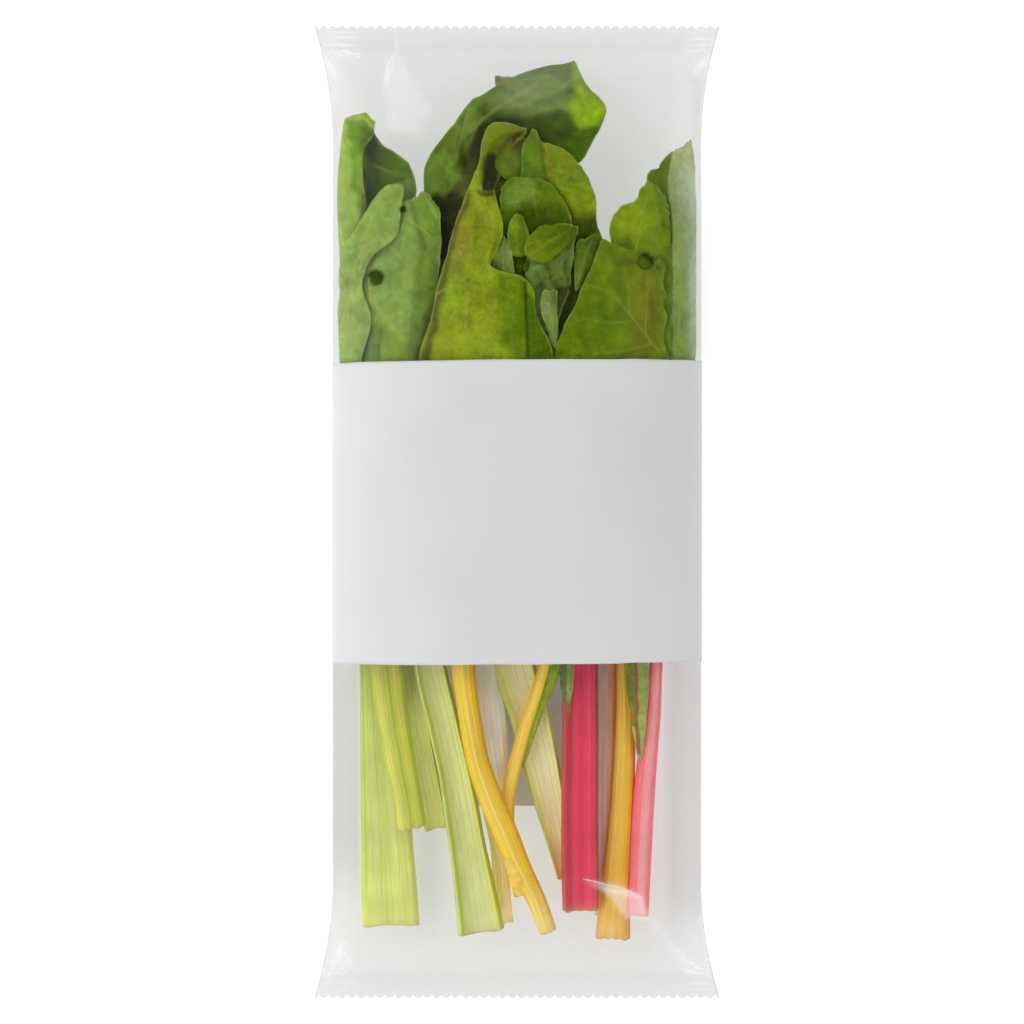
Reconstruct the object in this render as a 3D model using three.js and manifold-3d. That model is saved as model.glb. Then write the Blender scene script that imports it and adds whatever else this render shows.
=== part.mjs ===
// A bunch of rainbow chard in a clear flow-wrap bag, lying on its back.
//
// Eleven cut leaves, each a coloured stalk and a green blade, lie side by side in a pillow bag of
// clear film. The bag is a film tube with a lap seam along its back, a ribbed seal with a zigzag
// cut at each end, and three punched vent holes in its front. A blank white band goes round the
// front and sides, and a blank white label covers the middle of the back.
//
// Millimetres. X is across the bag, +Y runs from the stalk ends to the leaf tips, +Z is up, out of
// the bag's front. The origin is on the surface that the bag lies on, under the bag's middle.

import * as THREE from "three";
import { mergeVertices } from "three/addons/utils/BufferGeometryUtils.js";
import Module from "manifold-3d";

const wasm = await Module();
wasm.setup();

// ---------------------------------------------------------------- driving dimensions

const BAG_LENGTH = 380; // over the cut ends
const BAG_HALF_WIDTH = 71.9; // filled, along the middle
const SEAL_FLARE = 7.6; // how much wider each side is at the cut ends, where the tube lies flat
const FLARE_LENGTH = 48; // the stretch at each end over which the bag widens
const SEAL_LENGTH = 12; // each ribbed end seal, along Y
const SEAL_HEIGHT = 9; // the seals' height over the surface
const LEAF_END_HEIGHT = 39; // the bag's top over the leaves
const STALK_END_HEIGHT = 33; // and over the stalks
const SIDE_HEIGHT = 15; // height of the widest line of the bag's sides
const FILM = 0.6; // the film's wall
const FLAT_SHARE = 0.62; // share of the half width that lies flat underneath

const TOOTH_PITCH = 3.7; // the zigzag cut
const TOOTH_DEPTH = 1.2;
const RIB_COUNT = 3; // crimp ribs across each end seal
const RIB_HEIGHT = 0.25;
const VENT_RADIUS = 3;
const VENTS = [[-54.4, 90.2], [1.5, 94.3], [48.9, 95.8]];
const SEAM = { from: -3, to: 9, thickness: 0.5 }; // the lap seam, across X, on the film's inside

const BAND = { from: -58.4, to: 58.2, skew: 0.008, wrap: 0.86, gap: 0.3, thickness: 0.4 };
const BACK_LABEL = { x: [-52, 44], y: [-116, 57], thickness: 0.5 };
const LABEL_ROOM = 0.85; // how far the film stands up over the back label
const LABEL_RAMP = 9; // and the length over which it comes down again

const BLADE = 0.9; // thickness of a leaf blade
const LEAST_DEPTH = 1.0; // between the film's inside and the nearest blade

// Positions of the leaves are set out on a plan as seen from a point this far above the seals, so
// that what stands higher is set out larger; place() brings each point in by its own height.
const EYE = { x: -2, height: 1115 };

// ---------------------------------------------------------------- small helpers

const clamp = (value, low, high) => Math.min(high, Math.max(low, value));
const mix = (a, b, t) => a + (b - a) * t;
const smooth = (t) => {
  const s = clamp(t, 0, 1);
  return s * s * (3 - 2 * s);
};
const range = (n) => Array.from({ length: n }, (_, i) => i);

function place(x, y, z) {
  const share = 1 - (z - SEAL_HEIGHT) / EYE.height;
  return [EYE.x + (x - EYE.x) * share, y * share];
}

function indexed(points, triangles) {
  const geometry = new THREE.BufferGeometry();
  geometry.setAttribute("position", new THREE.Float32BufferAttribute(points.flat(), 3));
  geometry.setIndex(triangles.flat());
  return geometry;
}

// A closed solid from a geometry whose coincident points are merged first.
function solid(geometry) {
  geometry.deleteAttribute("normal");
  geometry.deleteAttribute("uv");
  const merged = mergeVertices(geometry, 1e-4);
  return new wasm.Manifold(
    new wasm.Mesh({
      numProp: 3,
      vertProperties: new Float32Array(merged.attributes.position.array),
      triVerts: new Uint32Array(merged.index.array),
    }),
  );
}

function geometryOf(manifold) {
  const mesh = manifold.getMesh();
  const points = range(mesh.numVert).map((i) => [
    ...mesh.vertProperties.subarray(i * mesh.numProp, i * mesh.numProp + 3),
  ]);
  const geometry = indexed(points, Array.from(mesh.triVerts));
  geometry.computeVertexNormals();
  return geometry;
}

// A solid through closed rings of equal length, each listed anticlockwise looking along the loft.
function loft(rings) {
  const n = rings[0].length;
  const last = rings.length - 1;
  const points = rings.flat();
  const triangles = [];
  for (let i = 0; i < last; i++)
    for (let j = 0; j < n; j++) {
      const a = i * n + j;
      const b = i * n + ((j + 1) % n);
      triangles.push([a, b + n, b], [a, a + n, b + n]);
    }
  for (const row of [0, last]) {
    const middle = points.length;
    points.push(rings[row].reduce((sum, p) => sum.map((v, k) => v + p[k] / n), [0, 0, 0]));
    for (let j = 0; j < n; j++) {
      const a = row * n + j;
      const b = row * n + ((j + 1) % n);
      triangles.push(row === 0 ? [middle, a, b] : [middle, b, a]);
    }
  }
  return indexed(points, triangles);
}

// ---------------------------------------------------------------- the bag's form

const END = BAG_LENGTH / 2;
const SEAL_INNER = END - SEAL_LENGTH;
const TOP_REACH = 18; // the tube opens upwards from a seal over about this length
const BOTTOM_REACH = 7; // and downwards over this one

const halfWidth = (y) => {
  const past = Math.max(0, Math.abs(y) - (END - FLARE_LENGTH));
  return BAG_HALF_WIDTH + SEAL_FLARE * (past / FLARE_LENGTH) ** 2;
};

const opening = (y, reach) => 1 - Math.exp(-Math.max(0, SEAL_INNER - Math.abs(y)) / reach);
const fullHeight = (y) => mix(STALK_END_HEIGHT, LEAF_END_HEIGHT, smooth((y + 110) / 150));

const labelRoom = (y) => {
  const [low, high] = BACK_LABEL.y;
  const ramp = LABEL_RAMP - 2;
  return LABEL_ROOM * smooth((y - low + LABEL_RAMP) / ramp) * smooth((high + LABEL_RAMP - y) / ramp);
};

// Heights at y of the middle of the top, the side line and the middle of the bottom. The inset is
// 0 on the film's outside and FILM on its inside.
function heights(y, inset) {
  const half = FILM - inset;
  return {
    top: mix(SEAL_HEIGHT + half, fullHeight(y) - inset, opening(y, TOP_REACH)),
    side: mix(SEAL_HEIGHT, SIDE_HEIGHT, opening(y, TOP_REACH)),
    bottom: mix(SEAL_HEIGHT - half, labelRoom(y) + inset, opening(y, BOTTOM_REACH)),
  };
}

const topShape = (s) => (1 - Math.min(1, Math.abs(s)) ** 2.3) ** 0.6;
const bottomShape = (s) => {
  const past = Math.max(0, Math.min(1, Math.abs(s)) - FLAT_SHARE) / (1 - FLAT_SHARE);
  return Math.sqrt(1 - past * past);
};

const topOf = (x, y, inset = 0) => {
  const h = heights(y, inset);
  return h.side + (h.top - h.side) * topShape(x / (halfWidth(y) - inset));
};
const bottomOf = (x, y, inset = 0) => {
  const h = heights(y, inset);
  return h.side - (h.side - h.bottom) * bottomShape(x / (halfWidth(y) - inset));
};

// A section is read round from the right side line, over the top, to the left and back underneath.
const TOP_ANGLES = range(15).map((i) => (Math.PI * i) / 14);
const BOTTOM_ANGLES = range(9).map((i) => Math.PI * (1 + (i + 1) / 10));

function sectionPoint(angle, y, inset) {
  const x = Math.cos(angle) * (halfWidth(y) - inset);
  return [x, y, Math.sin(angle) > -1e-9 ? topOf(x, y, inset) : bottomOf(x, y, inset)];
}
const section = (y, inset) => [...TOP_ANGLES, ...BOTTOM_ANGLES].map((angle) => sectionPoint(angle, y, inset));

const MIDDLE_STATIONS = [-125, -118, -60, 0, 58, 66, 110];
const END_STEPS = [3, 7, 12, 19, 28, 40]; // inwards from each seal
const stations = (steps) => [
  ...steps.map((step) => step - SEAL_INNER),
  ...MIDDLE_STATIONS,
  ...steps.map((step) => SEAL_INNER - step).reverse(),
];

// Rows across one seal from its cut end inwards; every second row is pressed thinner.
function sealSections(side) {
  const steps = RIB_COUNT * 2;
  return range(steps + 1).map((i) => {
    const y = side * (END - (i * (SEAL_LENGTH - 1)) / steps);
    const pressed = i % 2 ? 1 : 1 - RIB_HEIGHT / FILM;
    return section(y, 0).map(([x, , z]) => [x, y, SEAL_HEIGHT + (z - SEAL_HEIGHT) * pressed]);
  });
}

// Everything outside the zigzag line of one cut end.
function zigzagWaste(side) {
  const reach = halfWidth(END) + 2;
  const teeth = Math.ceil((2 * reach) / TOOTH_PITCH);
  const shape = new THREE.Shape();
  shape.moveTo(-reach, side * (END + 5));
  for (const i of range(2 * teeth + 1))
    shape.lineTo(-reach + (i * TOOTH_PITCH) / 2, side * (END - (i % 2 ? TOOTH_DEPTH : 0)));
  shape.lineTo(-reach + teeth * TOOTH_PITCH, side * (END + 5));
  const waste = new THREE.ExtrudeGeometry(shape, { depth: 10, bevelEnabled: false });
  waste.translate(0, 0, SEAL_HEIGHT - 5);
  return solid(waste);
}

function lapSeam() {
  const rings = stations(END_STEPS).map((y) => {
    const floor = bottomOf(0, y, FILM);
    return [
      [SEAM.to, y, floor - FILM / 2],
      [SEAM.to, y, floor + SEAM.thickness],
      [SEAM.from, y, floor + SEAM.thickness],
      [SEAM.from, y, floor - FILM / 2],
    ];
  });
  return solid(loft(rings));
}

function filmBag() {
  const outer = loft([
    ...sealSections(-1),
    section(-SEAL_INNER, 0),
    ...stations(END_STEPS).map((y) => section(y, 0)),
    section(SEAL_INNER, 0),
    ...sealSections(1).reverse(),
  ]);
  const inner = loft(stations([1.5, ...END_STEPS]).map((y) => section(y, FILM)));
  let bag = solid(outer).subtract(solid(inner)).add(lapSeam());
  for (const [x, y] of VENTS) {
    const punch = new THREE.CylinderGeometry(VENT_RADIUS, VENT_RADIUS, 14, 12);
    punch.rotateX(Math.PI / 2);
    punch.translate(x, y, topOf(x, y) + 2);
    bag = bag.subtract(solid(punch));
  }
  return geometryOf(bag.subtract(zigzagWaste(-1)).subtract(zigzagWaste(1)));
}

// The band lies along the film's top and sides and ends a little way underneath.
function frontBand() {
  const under = Math.acos(BAND.wrap);
  const angles = [-under, -under / 2, ...TOP_ANGLES, Math.PI + under / 2, Math.PI + under];
  const n = angles.length;
  const rings = range(5).map((row) => {
    const line = angles.map((angle) => {
      const y = mix(BAND.from, BAND.to, row / 4);
      return sectionPoint(angle, y + BAND.skew * Math.cos(angle) * BAG_HALF_WIDTH, 0);
    });
    const offset = (distance) =>
      line.map(([x, y, z], i) => {
        const [ax, , az] = line[Math.max(0, i - 1)];
        const [bx, , bz] = line[Math.min(n - 1, i + 1)];
        const length = Math.hypot(bx - ax, bz - az);
        return [x + ((bz - az) / length) * distance, y, z - ((bx - ax) / length) * distance];
      });
    return [...offset(BAND.gap + BAND.thickness), ...offset(BAND.gap).reverse()];
  });
  const triangles = [];
  for (const i of range(rings.length - 1))
    for (const j of range(2 * n)) {
      const a = i * 2 * n + j;
      const b = i * 2 * n + ((j + 1) % (2 * n));
      triangles.push([a, b + 2 * n, b], [a, a + 2 * n, b + 2 * n]);
    }
  for (const row of [0, rings.length - 1])
    for (const j of range(n - 1)) {
      const quad = [j, j + 1, 2 * n - 2 - j, 2 * n - 1 - j].map((k) => row * 2 * n + k);
      const [a, b, c, d] = row === 0 ? quad : quad.reverse();
      triangles.push([a, b, c], [a, c, d]);
    }
  return geometryOf(solid(indexed(rings.flat(), triangles)));
}

function backLabel() {
  const [x0, x1] = BACK_LABEL.x;
  const [y0, y1] = BACK_LABEL.y;
  const plate = new THREE.BoxGeometry(x1 - x0, y1 - y0, BACK_LABEL.thickness, 2, 3, 1);
  plate.translate((x0 + x1) / 2, (y0 + y1) / 2, BACK_LABEL.thickness / 2);
  return geometryOf(solid(plate));
}

// ---------------------------------------------------------------- leaf blades

const curve = (points) =>
  new THREE.CatmullRomCurve3(points.map((p) => new THREE.Vector3(...p)), false, "centripetal");

// A blade's plan is rows of [x, y, depth] from its foot to its far edge, each row from its left
// margin to its right one. Depth is how far the blade lies under the film's inside. The margins
// are waved up and down.
function bladeSheet({ plan, waves }) {
  const columns = plan[0].map((_, j) => curve(plan.map((row) => row[j])));
  return range(ROWS + 1).map((i) => {
    const u = i / ROWS;
    const across = curve(columns.map((column) => column.getPoint(u).toArray()));
    return range(COLUMNS + 1).map((j) => {
      const v = j / COLUMNS;
      const p = across.getPoint(v);
      const edge = Math.abs(2 * v - 1) ** 4;
      const wave = waves.height * edge * smooth(4 * u - 1) * Math.sin(2 * Math.PI * waves.count * u + 4 * v);
      const depth = Math.max(LEAST_DEPTH, p.z + wave);
      let [x, y] = [p.x, p.y];
      for (const _ of range(3)) [x, y] = place(p.x, p.y, topOf(x, y, FILM) - depth);
      return new THREE.Vector3(x, y, topOf(x, y, FILM) - depth);
    });
  });
}
const ROWS = 14;
const COLUMNS = 8;

function blade(spec) {
  const top = bladeSheet(spec);
  const at = (i, j) => top[clamp(i, 0, ROWS)][clamp(j, 0, COLUMNS)];
  const under = top.map((row, i) =>
    row.map((p, j) => {
      const along = at(i + 1, j).clone().sub(at(i - 1, j));
      const across = at(i, j + 1).clone().sub(at(i, j - 1));
      return p.clone().addScaledVector(across.cross(along).normalize(), -BLADE);
    }),
  );
  const wide = COLUMNS + 1;
  const lower = (ROWS + 1) * wide;
  const triangles = [];
  for (const i of range(ROWS))
    for (const j of range(COLUMNS)) {
      const a = i * wide + j;
      const [b, c, d] = [a + 1, a + wide + 1, a + wide];
      triangles.push([a, b, c], [a, c, d]);
      triangles.push([a + lower, c + lower, b + lower], [a + lower, d + lower, c + lower]);
    }
  const rim = [
    ...range(COLUMNS),
    ...range(ROWS).map((i) => i * wide + COLUMNS),
    ...range(COLUMNS).map((j) => ROWS * wide + COLUMNS - j),
    ...range(ROWS).map((i) => (ROWS - i) * wide),
  ];
  rim.forEach((a, k) => {
    const b = rim[(k + 1) % rim.length];
    triangles.push([a, a + lower, b + lower], [a, b + lower, b]);
  });
  const points = [...top.flat(), ...under.flat()].map((p) => p.toArray());
  return geometryOf(solid(indexed(points, triangles)));
}

const WAVED = { height: 0.45, count: 4.5 };

const BLADES = {
  // rolled into a tube that is open to the front, at the far left, behind the next two
  blade_01: {
    colour: 0x5f9a33,
    waves: { height: 0, count: 1 },
    plan: [
      [[-64, 24, 8.4], [-63, 24, 8.6], [-62, 24, 8.8], [-61, 24, 9], [-60, 24, 9], [-58, 24, 9], [-56, 24, 8.8]],
      [[-65.5, 55, 7], [-67, 55, 7.2], [-67.6, 55, 8], [-65.4, 55, 9.8], [-59, 55, 10.8], [-50, 55, 10.8],
        [-43, 55, 10.4]],
      [[-63.5, 80, 7.4], [-66.5, 80, 6.6], [-68.2, 80, 7], [-66, 80, 9.8], [-59.5, 80, 11], [-49, 80, 11],
        [-40.5, 80, 10.8]],
      [[-62.5, 103, 7], [-66.5, 103, 5], [-69.2, 103, 5.6], [-67.2, 103, 9], [-60, 103, 10.8],
        [-49.5, 103, 10.8], [-40, 103, 10.6]],
      [[-59.5, 118, 4.8], [-64.5, 118, 3], [-69.9, 118, 4.2], [-67.5, 118, 8], [-60, 118, 10],
        [-50, 118, 10.2], [-39.8, 118, 10]],
      [[-60, 130, 2.8], [-64.5, 130, 1.6], [-69.8, 130, 3.6], [-67.5, 130, 7.2], [-60, 130, 9], [-50, 130, 9.4],
        [-40.3, 129, 9]],
      [[-61, 141, 2.2], [-64.5, 141, 1.4], [-68.7, 141, 3.2], [-66.5, 141, 6.4], [-60, 141, 8.2], [-52.5, 140, 8.2],
        [-43.5, 137, 7.6]],
      [[-60, 147, 2.2], [-64, 148, 1.4], [-68, 148, 3.2], [-66, 149, 6], [-60, 149, 7.4], [-56, 147, 7.2],
        [-50, 142, 7]],
      [[-57.2, 149.6, 2.4], [-61.5, 152.5, 1.8], [-67, 154.3, 3.2], [-64, 156, 5.4], [-58.5, 155.6, 6],
        [-55.6, 152, 6.2], [-54.3, 145, 6.6]],
    ],
  },
  // the broad pale one at the front left, with a bitten right margin
  blade_02: {
    colour: 0x86a65c,
    waves: WAVED,
    plan: [
      [[-62, 24, 3.6], [-61, 24, 3.3], [-60, 24, 3.2], [-59, 24, 3.3], [-58, 24, 3.6]],
      [[-68, 44, 2.6], [-66.5, 45, 1.4], [-64.5, 45, 1.2], [-62.5, 45, 1.4], [-60.5, 44, 2]],
      [[-69.5, 58, 2.4], [-67.5, 59, 1.2], [-65.5, 59, 1], [-63, 59, 1.2], [-61, 59, 2]],
      [[-70, 74, 2.2], [-67.5, 75, 1.2], [-64.5, 75, 1], [-61, 75, 1.2], [-57.3, 75.5, 2.2]],
      [[-70, 87, 2.2], [-68, 88, 1.2], [-65.5, 89, 1], [-63, 89, 1.2], [-60.7, 89, 2.2]],
      [[-69.8, 95, 2.2], [-66.5, 98, 1.2], [-62.5, 99, 1], [-60, 99, 1.2], [-57, 99.5, 2]],
      [[-69.2, 100, 2.2], [-64.5, 105, 1.2], [-58, 109, 1], [-52.5, 108, 1], [-47.5, 108, 1.8]],
      [[-68.5, 103.5, 2.2], [-62.5, 111, 1.4], [-55, 117.5, 1.2], [-49.5, 117, 1.2], [-45.6, 116.5, 1.8]],
      [[-67, 105.5, 2.4], [-60.5, 115.5, 2], [-54.5, 125, 2], [-49.5, 128.5, 2], [-44.7, 128, 2.4]],
    ],
  },
  // beside it, partly under it
  blade_03: {
    colour: 0x7f9e5e,
    waves: { height: 0.3, count: 3.5 },
    plan: [
      [[-51, 24, 6], [-50, 24, 5.6], [-49, 24, 5.4], [-48, 24, 5.6], [-47, 24, 6]],
      [[-61, 45, 5.6], [-56, 45, 4.4], [-50, 45, 3.8], [-44, 45, 4.2], [-39, 45, 7.4]],
      [[-64, 60, 5.4], [-58, 60, 4.2], [-51, 60, 3.6], [-43, 60, 3.9], [-37.5, 60, 7.6]],
      [[-64.5, 75, 5.4], [-58, 75, 4.3], [-49.5, 75, 3.5], [-40.5, 75, 3.9], [-34, 75, 7.6]],
      [[-63, 90, 5.2], [-56, 90, 4.2], [-47, 90, 3.4], [-38, 90, 3.9], [-31, 90, 7.2]],
      [[-59, 102, 5], [-51, 102, 4], [-43, 102, 3.4], [-36, 102, 3.8], [-30, 102, 6.2]],
      [[-51, 114, 4.8], [-45.5, 113, 4.1], [-39.5, 112, 3.5], [-34, 112, 4], [-29.8, 111.5, 5.4]],
      [[-46, 120, 4.6], [-42, 119.5, 4.2], [-37, 119.5, 3.9], [-33, 119, 4.2], [-30.3, 118.3, 4.8]],
      [[-44.5, 121.3, 4.6], [-40.8, 122.8, 4.4], [-36.4, 125.3, 4.4], [-34.2, 124, 4.6], [-32, 121, 5]],
    ],
  },
  // the longest one, behind the middle, bent over to the right at its tip
  blade_04: {
    colour: 0x5f8a3c,
    waves: { height: 0.3, count: 5 },
    plan: [
      [[-36, 24, 11.4], [-35, 24, 11.2], [-34, 24, 11], [-33, 24, 11], [-32, 24, 11.2], [-31, 24, 11.4],
        [-30, 24, 11.6]],
      [[-36.5, 60, 12], [-30, 60, 11.8], [-20, 60, 11.6], [-8, 60, 11.6], [2, 60, 12], [8, 60, 12.4], [12, 60, 12.8]],
      [[-37, 100, 10.5], [-26, 100, 10.4], [-13, 100, 10.6], [0, 100, 11.2], [9, 100, 12.4], [14, 98, 13],
        [16, 96, 13.2]],
      [[-36.5, 124.5, 8], [-28, 124, 9.4], [-17, 124, 10], [-4, 124, 11], [8, 122, 12], [13, 118, 12.8],
        [15, 112, 13]],
      [[-35.3, 138, 5], [-27, 136, 6.2], [-17, 138, 9.6], [-4, 136, 11.4], [10, 132, 12], [15, 126, 12.4],
        [17, 120, 12.6]],
      [[-27, 149.5, 3.2], [-22, 146, 4], [-14.5, 146, 8.6], [0, 148, 9.6], [13, 142, 10.6], [18, 136, 11],
        [19, 129, 11.4]],
      [[-19, 160, 2.4], [-14, 156, 2.4], [-4, 157, 3.2], [8, 152, 6.4], [17, 146, 7.4], [21, 140, 9.4],
        [21, 133, 10.2]],
      [[-8, 167, 2], [-2, 162, 1.8], [8, 160, 2.2], [18, 155, 3.6], [27, 150.8, 5], [27.5, 146, 8], [25.5, 138, 8.8]],
      [[8, 174, 1.8], [12, 168, 1.6], [18, 163, 1.8], [25, 158.5, 2.6], [33, 154, 3.6], [32, 150, 6.6],
        [30, 146, 7.4]],
      [[22.5, 176.3, 1.2], [25, 171.4, 1.4], [28, 166.5, 1.8], [32, 163, 2.2], [35, 158, 3], [34.8, 156, 4.6],
        [33.5, 153.5, 5.6]],
    ],
  },
  // the yellow-green one at the front in the middle, hooded at its tip
  blade_05: {
    colour: 0x87992d,
    waves: { height: 0.3, count: 5 },
    plan: [
      [[-22.5, 24, 5], [-21.5, 24, 4.5], [-20.5, 24, 4.2], [-19.5, 24, 4.2], [-18.5, 24, 4.4], [-17.5, 24, 5]],
      [[-34, 42, 5], [-28, 45, 2], [-20, 45, 1.4], [-10, 45, 1.3], [-1, 43, 1.6], [8, 42, 3]],
      [[-38.5, 60, 4.6], [-31, 62, 1.8], [-21, 65, 1.1], [-8, 65, 1.1], [3.5, 61, 1.4], [14.3, 61, 3.5]],
      [[-34, 75, 4.4], [-28, 78, 1.6], [-19.5, 80, 1.1], [-8, 79, 1.1], [2.5, 75, 1.4], [9.5, 74.5, 3]],
      [[-31, 90, 4.2], [-25.5, 92, 1.6], [-18, 93, 1.1], [-10, 90, 1.1], [0, 86, 1.4], [7, 85, 2.6]],
      [[-27, 105, 4], [-22, 105, 1.6], [-17, 103, 1.2], [-13, 99.5, 1.2], [-10.5, 97.5, 1.6], [-8.8, 96, 2.6]],
      [[-23, 118, 3.7], [-18.5, 117, 1.7], [-15, 115.5, 1.4], [-11.5, 113, 1.3], [-8, 111, 1.5], [-5, 111.5, 2.4]],
      [[-18, 130.5, 3.4], [-15.5, 126, 1.9], [-13.5, 123, 1.8], [-11, 121, 1.8], [-9.2, 120, 2], [-7, 120, 2.8]],
      [[-14.7, 138.5, 3], [-12.5, 136, 1.8], [-11.4, 129.5, 6.4], [-10, 128, 7.6], [-9.2, 127.5, 7.6],
        [-8.4, 128, 7.4]],
      [[-13.8, 147, 2.2], [-10.5, 144, 1.4], [-9.2, 138, 6.6], [-7, 136, 7.8], [-5.5, 135, 8], [-4.6, 135, 8]],
      [[-9, 152.5, 1.7], [-6, 148.5, 1.4], [-4.5, 145, 6], [-3.5, 142.5, 7.4], [-3, 141, 8], [-2.4, 140.5, 8]],
      [[4, 150.2, 2.6], [3.6, 149, 3], [2.5, 147.6, 4.4], [1.5, 146.6, 5.6], [0.6, 146, 6.6], [-0.2, 145.5, 7]],
    ],
  },
  // behind the middle to the right, with a lobed tip
  blade_06: {
    colour: 0x6f9427,
    waves: { height: 0.3, count: 4 },
    plan: [
      [[17.5, 24, 9.2], [18.4, 24, 9], [19.3, 24, 8.8], [20.2, 24, 8.8], [21.1, 24, 9], [22, 24, 9.2]],
      [[8, 60, 10.4], [12, 60, 10.2], [16, 60, 10], [20, 60, 9.8], [25, 60, 9.8], [30, 60, 10.2]],
      [[3, 88, 10], [8.5, 88, 9.8], [14, 88, 9.6], [20, 88, 9.2], [26, 88, 9], [32, 89, 9.6]],
      [[1, 105, 9.6], [7, 105, 9], [13, 105, 8.8], [20, 105, 8.4], [27, 105.4, 7.9], [33.6, 106.6, 8.4]],
      [[0, 116, 9], [6, 116, 8.2], [13, 116, 7.6], [20, 116, 7], [26.5, 115, 5.8], [31.5, 114, 6.4]],
      [[0, 126, 8.4], [6, 126, 7.6], [12, 126, 7], [19, 126, 5.6], [25, 125, 4.8], [30.4, 124, 5.6]],
      [[1.8, 136, 7.6], [6, 137, 6.6], [11, 136.5, 5.8], [17, 135, 4.8], [22.5, 133, 4.6], [27.8, 131.5, 5.6]],
      [[2, 143, 7.4], [6, 144, 6.4], [10, 142.5, 6], [16, 140.5, 5], [21, 137, 5], [26, 134, 5.8]],
      [[3.8, 147, 7.2], [6.8, 150.3, 6.8], [9.5, 145.5, 6.4], [14, 143.8, 5.6], [19.5, 141.5, 5.6], [25, 135.8, 6]],
    ],
  },
  // the domed one in front of it
  blade_07: {
    colour: 0x5d8a2c,
    waves: { height: 0.25, count: 4 },
    plan: [
      [[-14.5, 24, 7.8], [-13.6, 24, 7.5], [-12.7, 24, 7.4], [-11.8, 24, 7.5], [-11, 24, 7.8]],
      [[-8, 60, 7.6], [-2, 60, 7], [3, 60, 6.8], [8, 60, 7], [13, 60, 7.6]],
      [[-10, 88, 7.4], [-4, 88, 6.8], [2, 88, 6.6], [8, 88, 7], [13, 88, 7.6]],
      [[-9, 104, 6.8], [-2, 104, 5.9], [6, 104, 5.6], [14, 104, 6.2], [19, 104, 6.8]],
      [[-7, 115, 6], [0, 115, 5], [8, 114, 4.7], [15, 113, 5], [21.5, 112, 5]],
      [[-6.8, 123, 5.6], [0, 124, 3.8], [8, 123, 3.2], [15, 121, 3.6], [20.5, 118, 4.4]],
      [[-5.8, 127.5, 5.6], [-2.5, 131, 4.6], [4, 131.4, 4.2], [9.5, 130.3, 4.3], [14.2, 128, 4.6]],
    ],
  },
  // the small one folded forwards in the middle, on a narrow foot
  blade_08: {
    colour: 0x648f28,
    waves: { height: 0.25, count: 4 },
    plan: [
      [[-2, 24, 5.8], [-1, 24, 5.6], [0, 24, 5.5], [1, 24, 5.6], [2, 24, 5.8]],
      [[9, 62, 5.6], [11.3, 62, 5.4], [13.3, 62, 5.2], [15, 62, 5.4], [16.5, 62, 6]],
      [[6, 75, 5.6], [9.5, 75, 5.2], [12.5, 75, 4.9], [14.5, 75, 5], [16.3, 75, 5.7]],
      [[4, 86, 5], [8, 86, 4.6], [12.5, 86.5, 4.3], [16.5, 86.5, 4.5], [20, 85.5, 5.2]],
      [[3, 93, 4.6], [7.5, 93.5, 4.2], [12.5, 94, 3.8], [17.5, 94, 4], [21.5, 93, 5]],
      [[2.5, 99, 3.8], [8, 98.6, 3.2], [13, 99.2, 2.6], [18.5, 103.5, 2.6], [23, 106.5, 3.4]],
      [[3.5, 105, 3.6], [8.5, 106, 2.6], [14, 107, 1.8], [19, 109, 1.8], [24, 109.5, 2.8]],
      [[5, 110, 3.6], [10, 112.5, 3], [16, 113, 2.6], [21, 113.2, 2.8], [25, 111, 3.6]],
    ],
  },
  // the upper right one
  blade_09: {
    colour: 0x74972b,
    waves: { height: 0.4, count: 6 },
    plan: [
      [[31.5, 24, 6.6], [32.3, 24, 6.4], [33.1, 24, 6.3], [34, 24, 6.4], [34.8, 24, 6.6]],
      [[27, 60, 7], [33, 60, 6.4], [40, 60, 6.2], [47, 60, 6.4], [53, 60, 7]],
      [[30.5, 90, 6.8], [37, 90, 6.2], [44, 90, 5.9], [50, 90, 6], [56, 90, 6.8]],
      [[34.5, 104, 6], [40.5, 104, 4.6], [47, 104, 4.1], [53.4, 104, 4.2], [59, 103, 4.6]],
      [[36, 111, 4.6], [41.5, 112, 2.8], [48, 112, 2], [54.4, 111, 2.2], [59.5, 109.5, 3.1]],
      [[38.5, 117, 4], [43.5, 118.5, 2.5], [49, 119, 1.9], [54.4, 117, 2.1], [59.4, 113.5, 3]],
      [[42, 119.8, 4], [47, 123, 2.8], [50.5, 124.5, 2.2], [55, 121.3, 2.4], [59.1, 117.5, 3.1]],
      [[46, 121.3, 4], [49, 126.5, 3.2], [51, 129.6, 3], [54.8, 125.5, 3], [58, 121.3, 3.2]],
    ],
  },
  // the broad one at the front right
  blade_10: {
    colour: 0x75922a,
    waves: { height: 0.35, count: 6 },
    plan: [
      [[40, 24, 4.2], [41, 24, 4], [42, 24, 3.9], [43, 24, 4], [44, 24, 4.2]],
      [[20, 45, 4], [29, 45, 2.2], [39, 45, 1.4], [49, 45, 2], [57.5, 45, 3.2]],
      [[14.6, 60, 4], [25, 60, 2], [37, 60, 1.2], [49, 60, 1.6], [59.3, 60, 3]],
      [[17.3, 72, 3.8], [27.5, 72, 1.9], [38, 72, 1.1], [49, 72, 1.5], [57.8, 71, 2.8]],
      [[22.2, 80, 3.8], [31, 80, 1.9], [40, 80, 1.1], [50, 80, 1.5], [58.3, 79, 2.8]],
      [[26.2, 90, 4], [34, 90, 2.1], [42, 90, 1.3], [50.5, 90, 1.7], [57.8, 88, 2.8]],
      [[30.3, 99, 4.2], [37, 99, 2.7], [44, 98, 1.9], [51, 96.5, 2.1], [57, 94.5, 3]],
      [[33, 106.8, 4.4], [38, 105.4, 3.4], [44.5, 102.4, 2.8], [50.5, 100, 2.7], [56, 98.3, 3.2]],
    ],
  },
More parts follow.
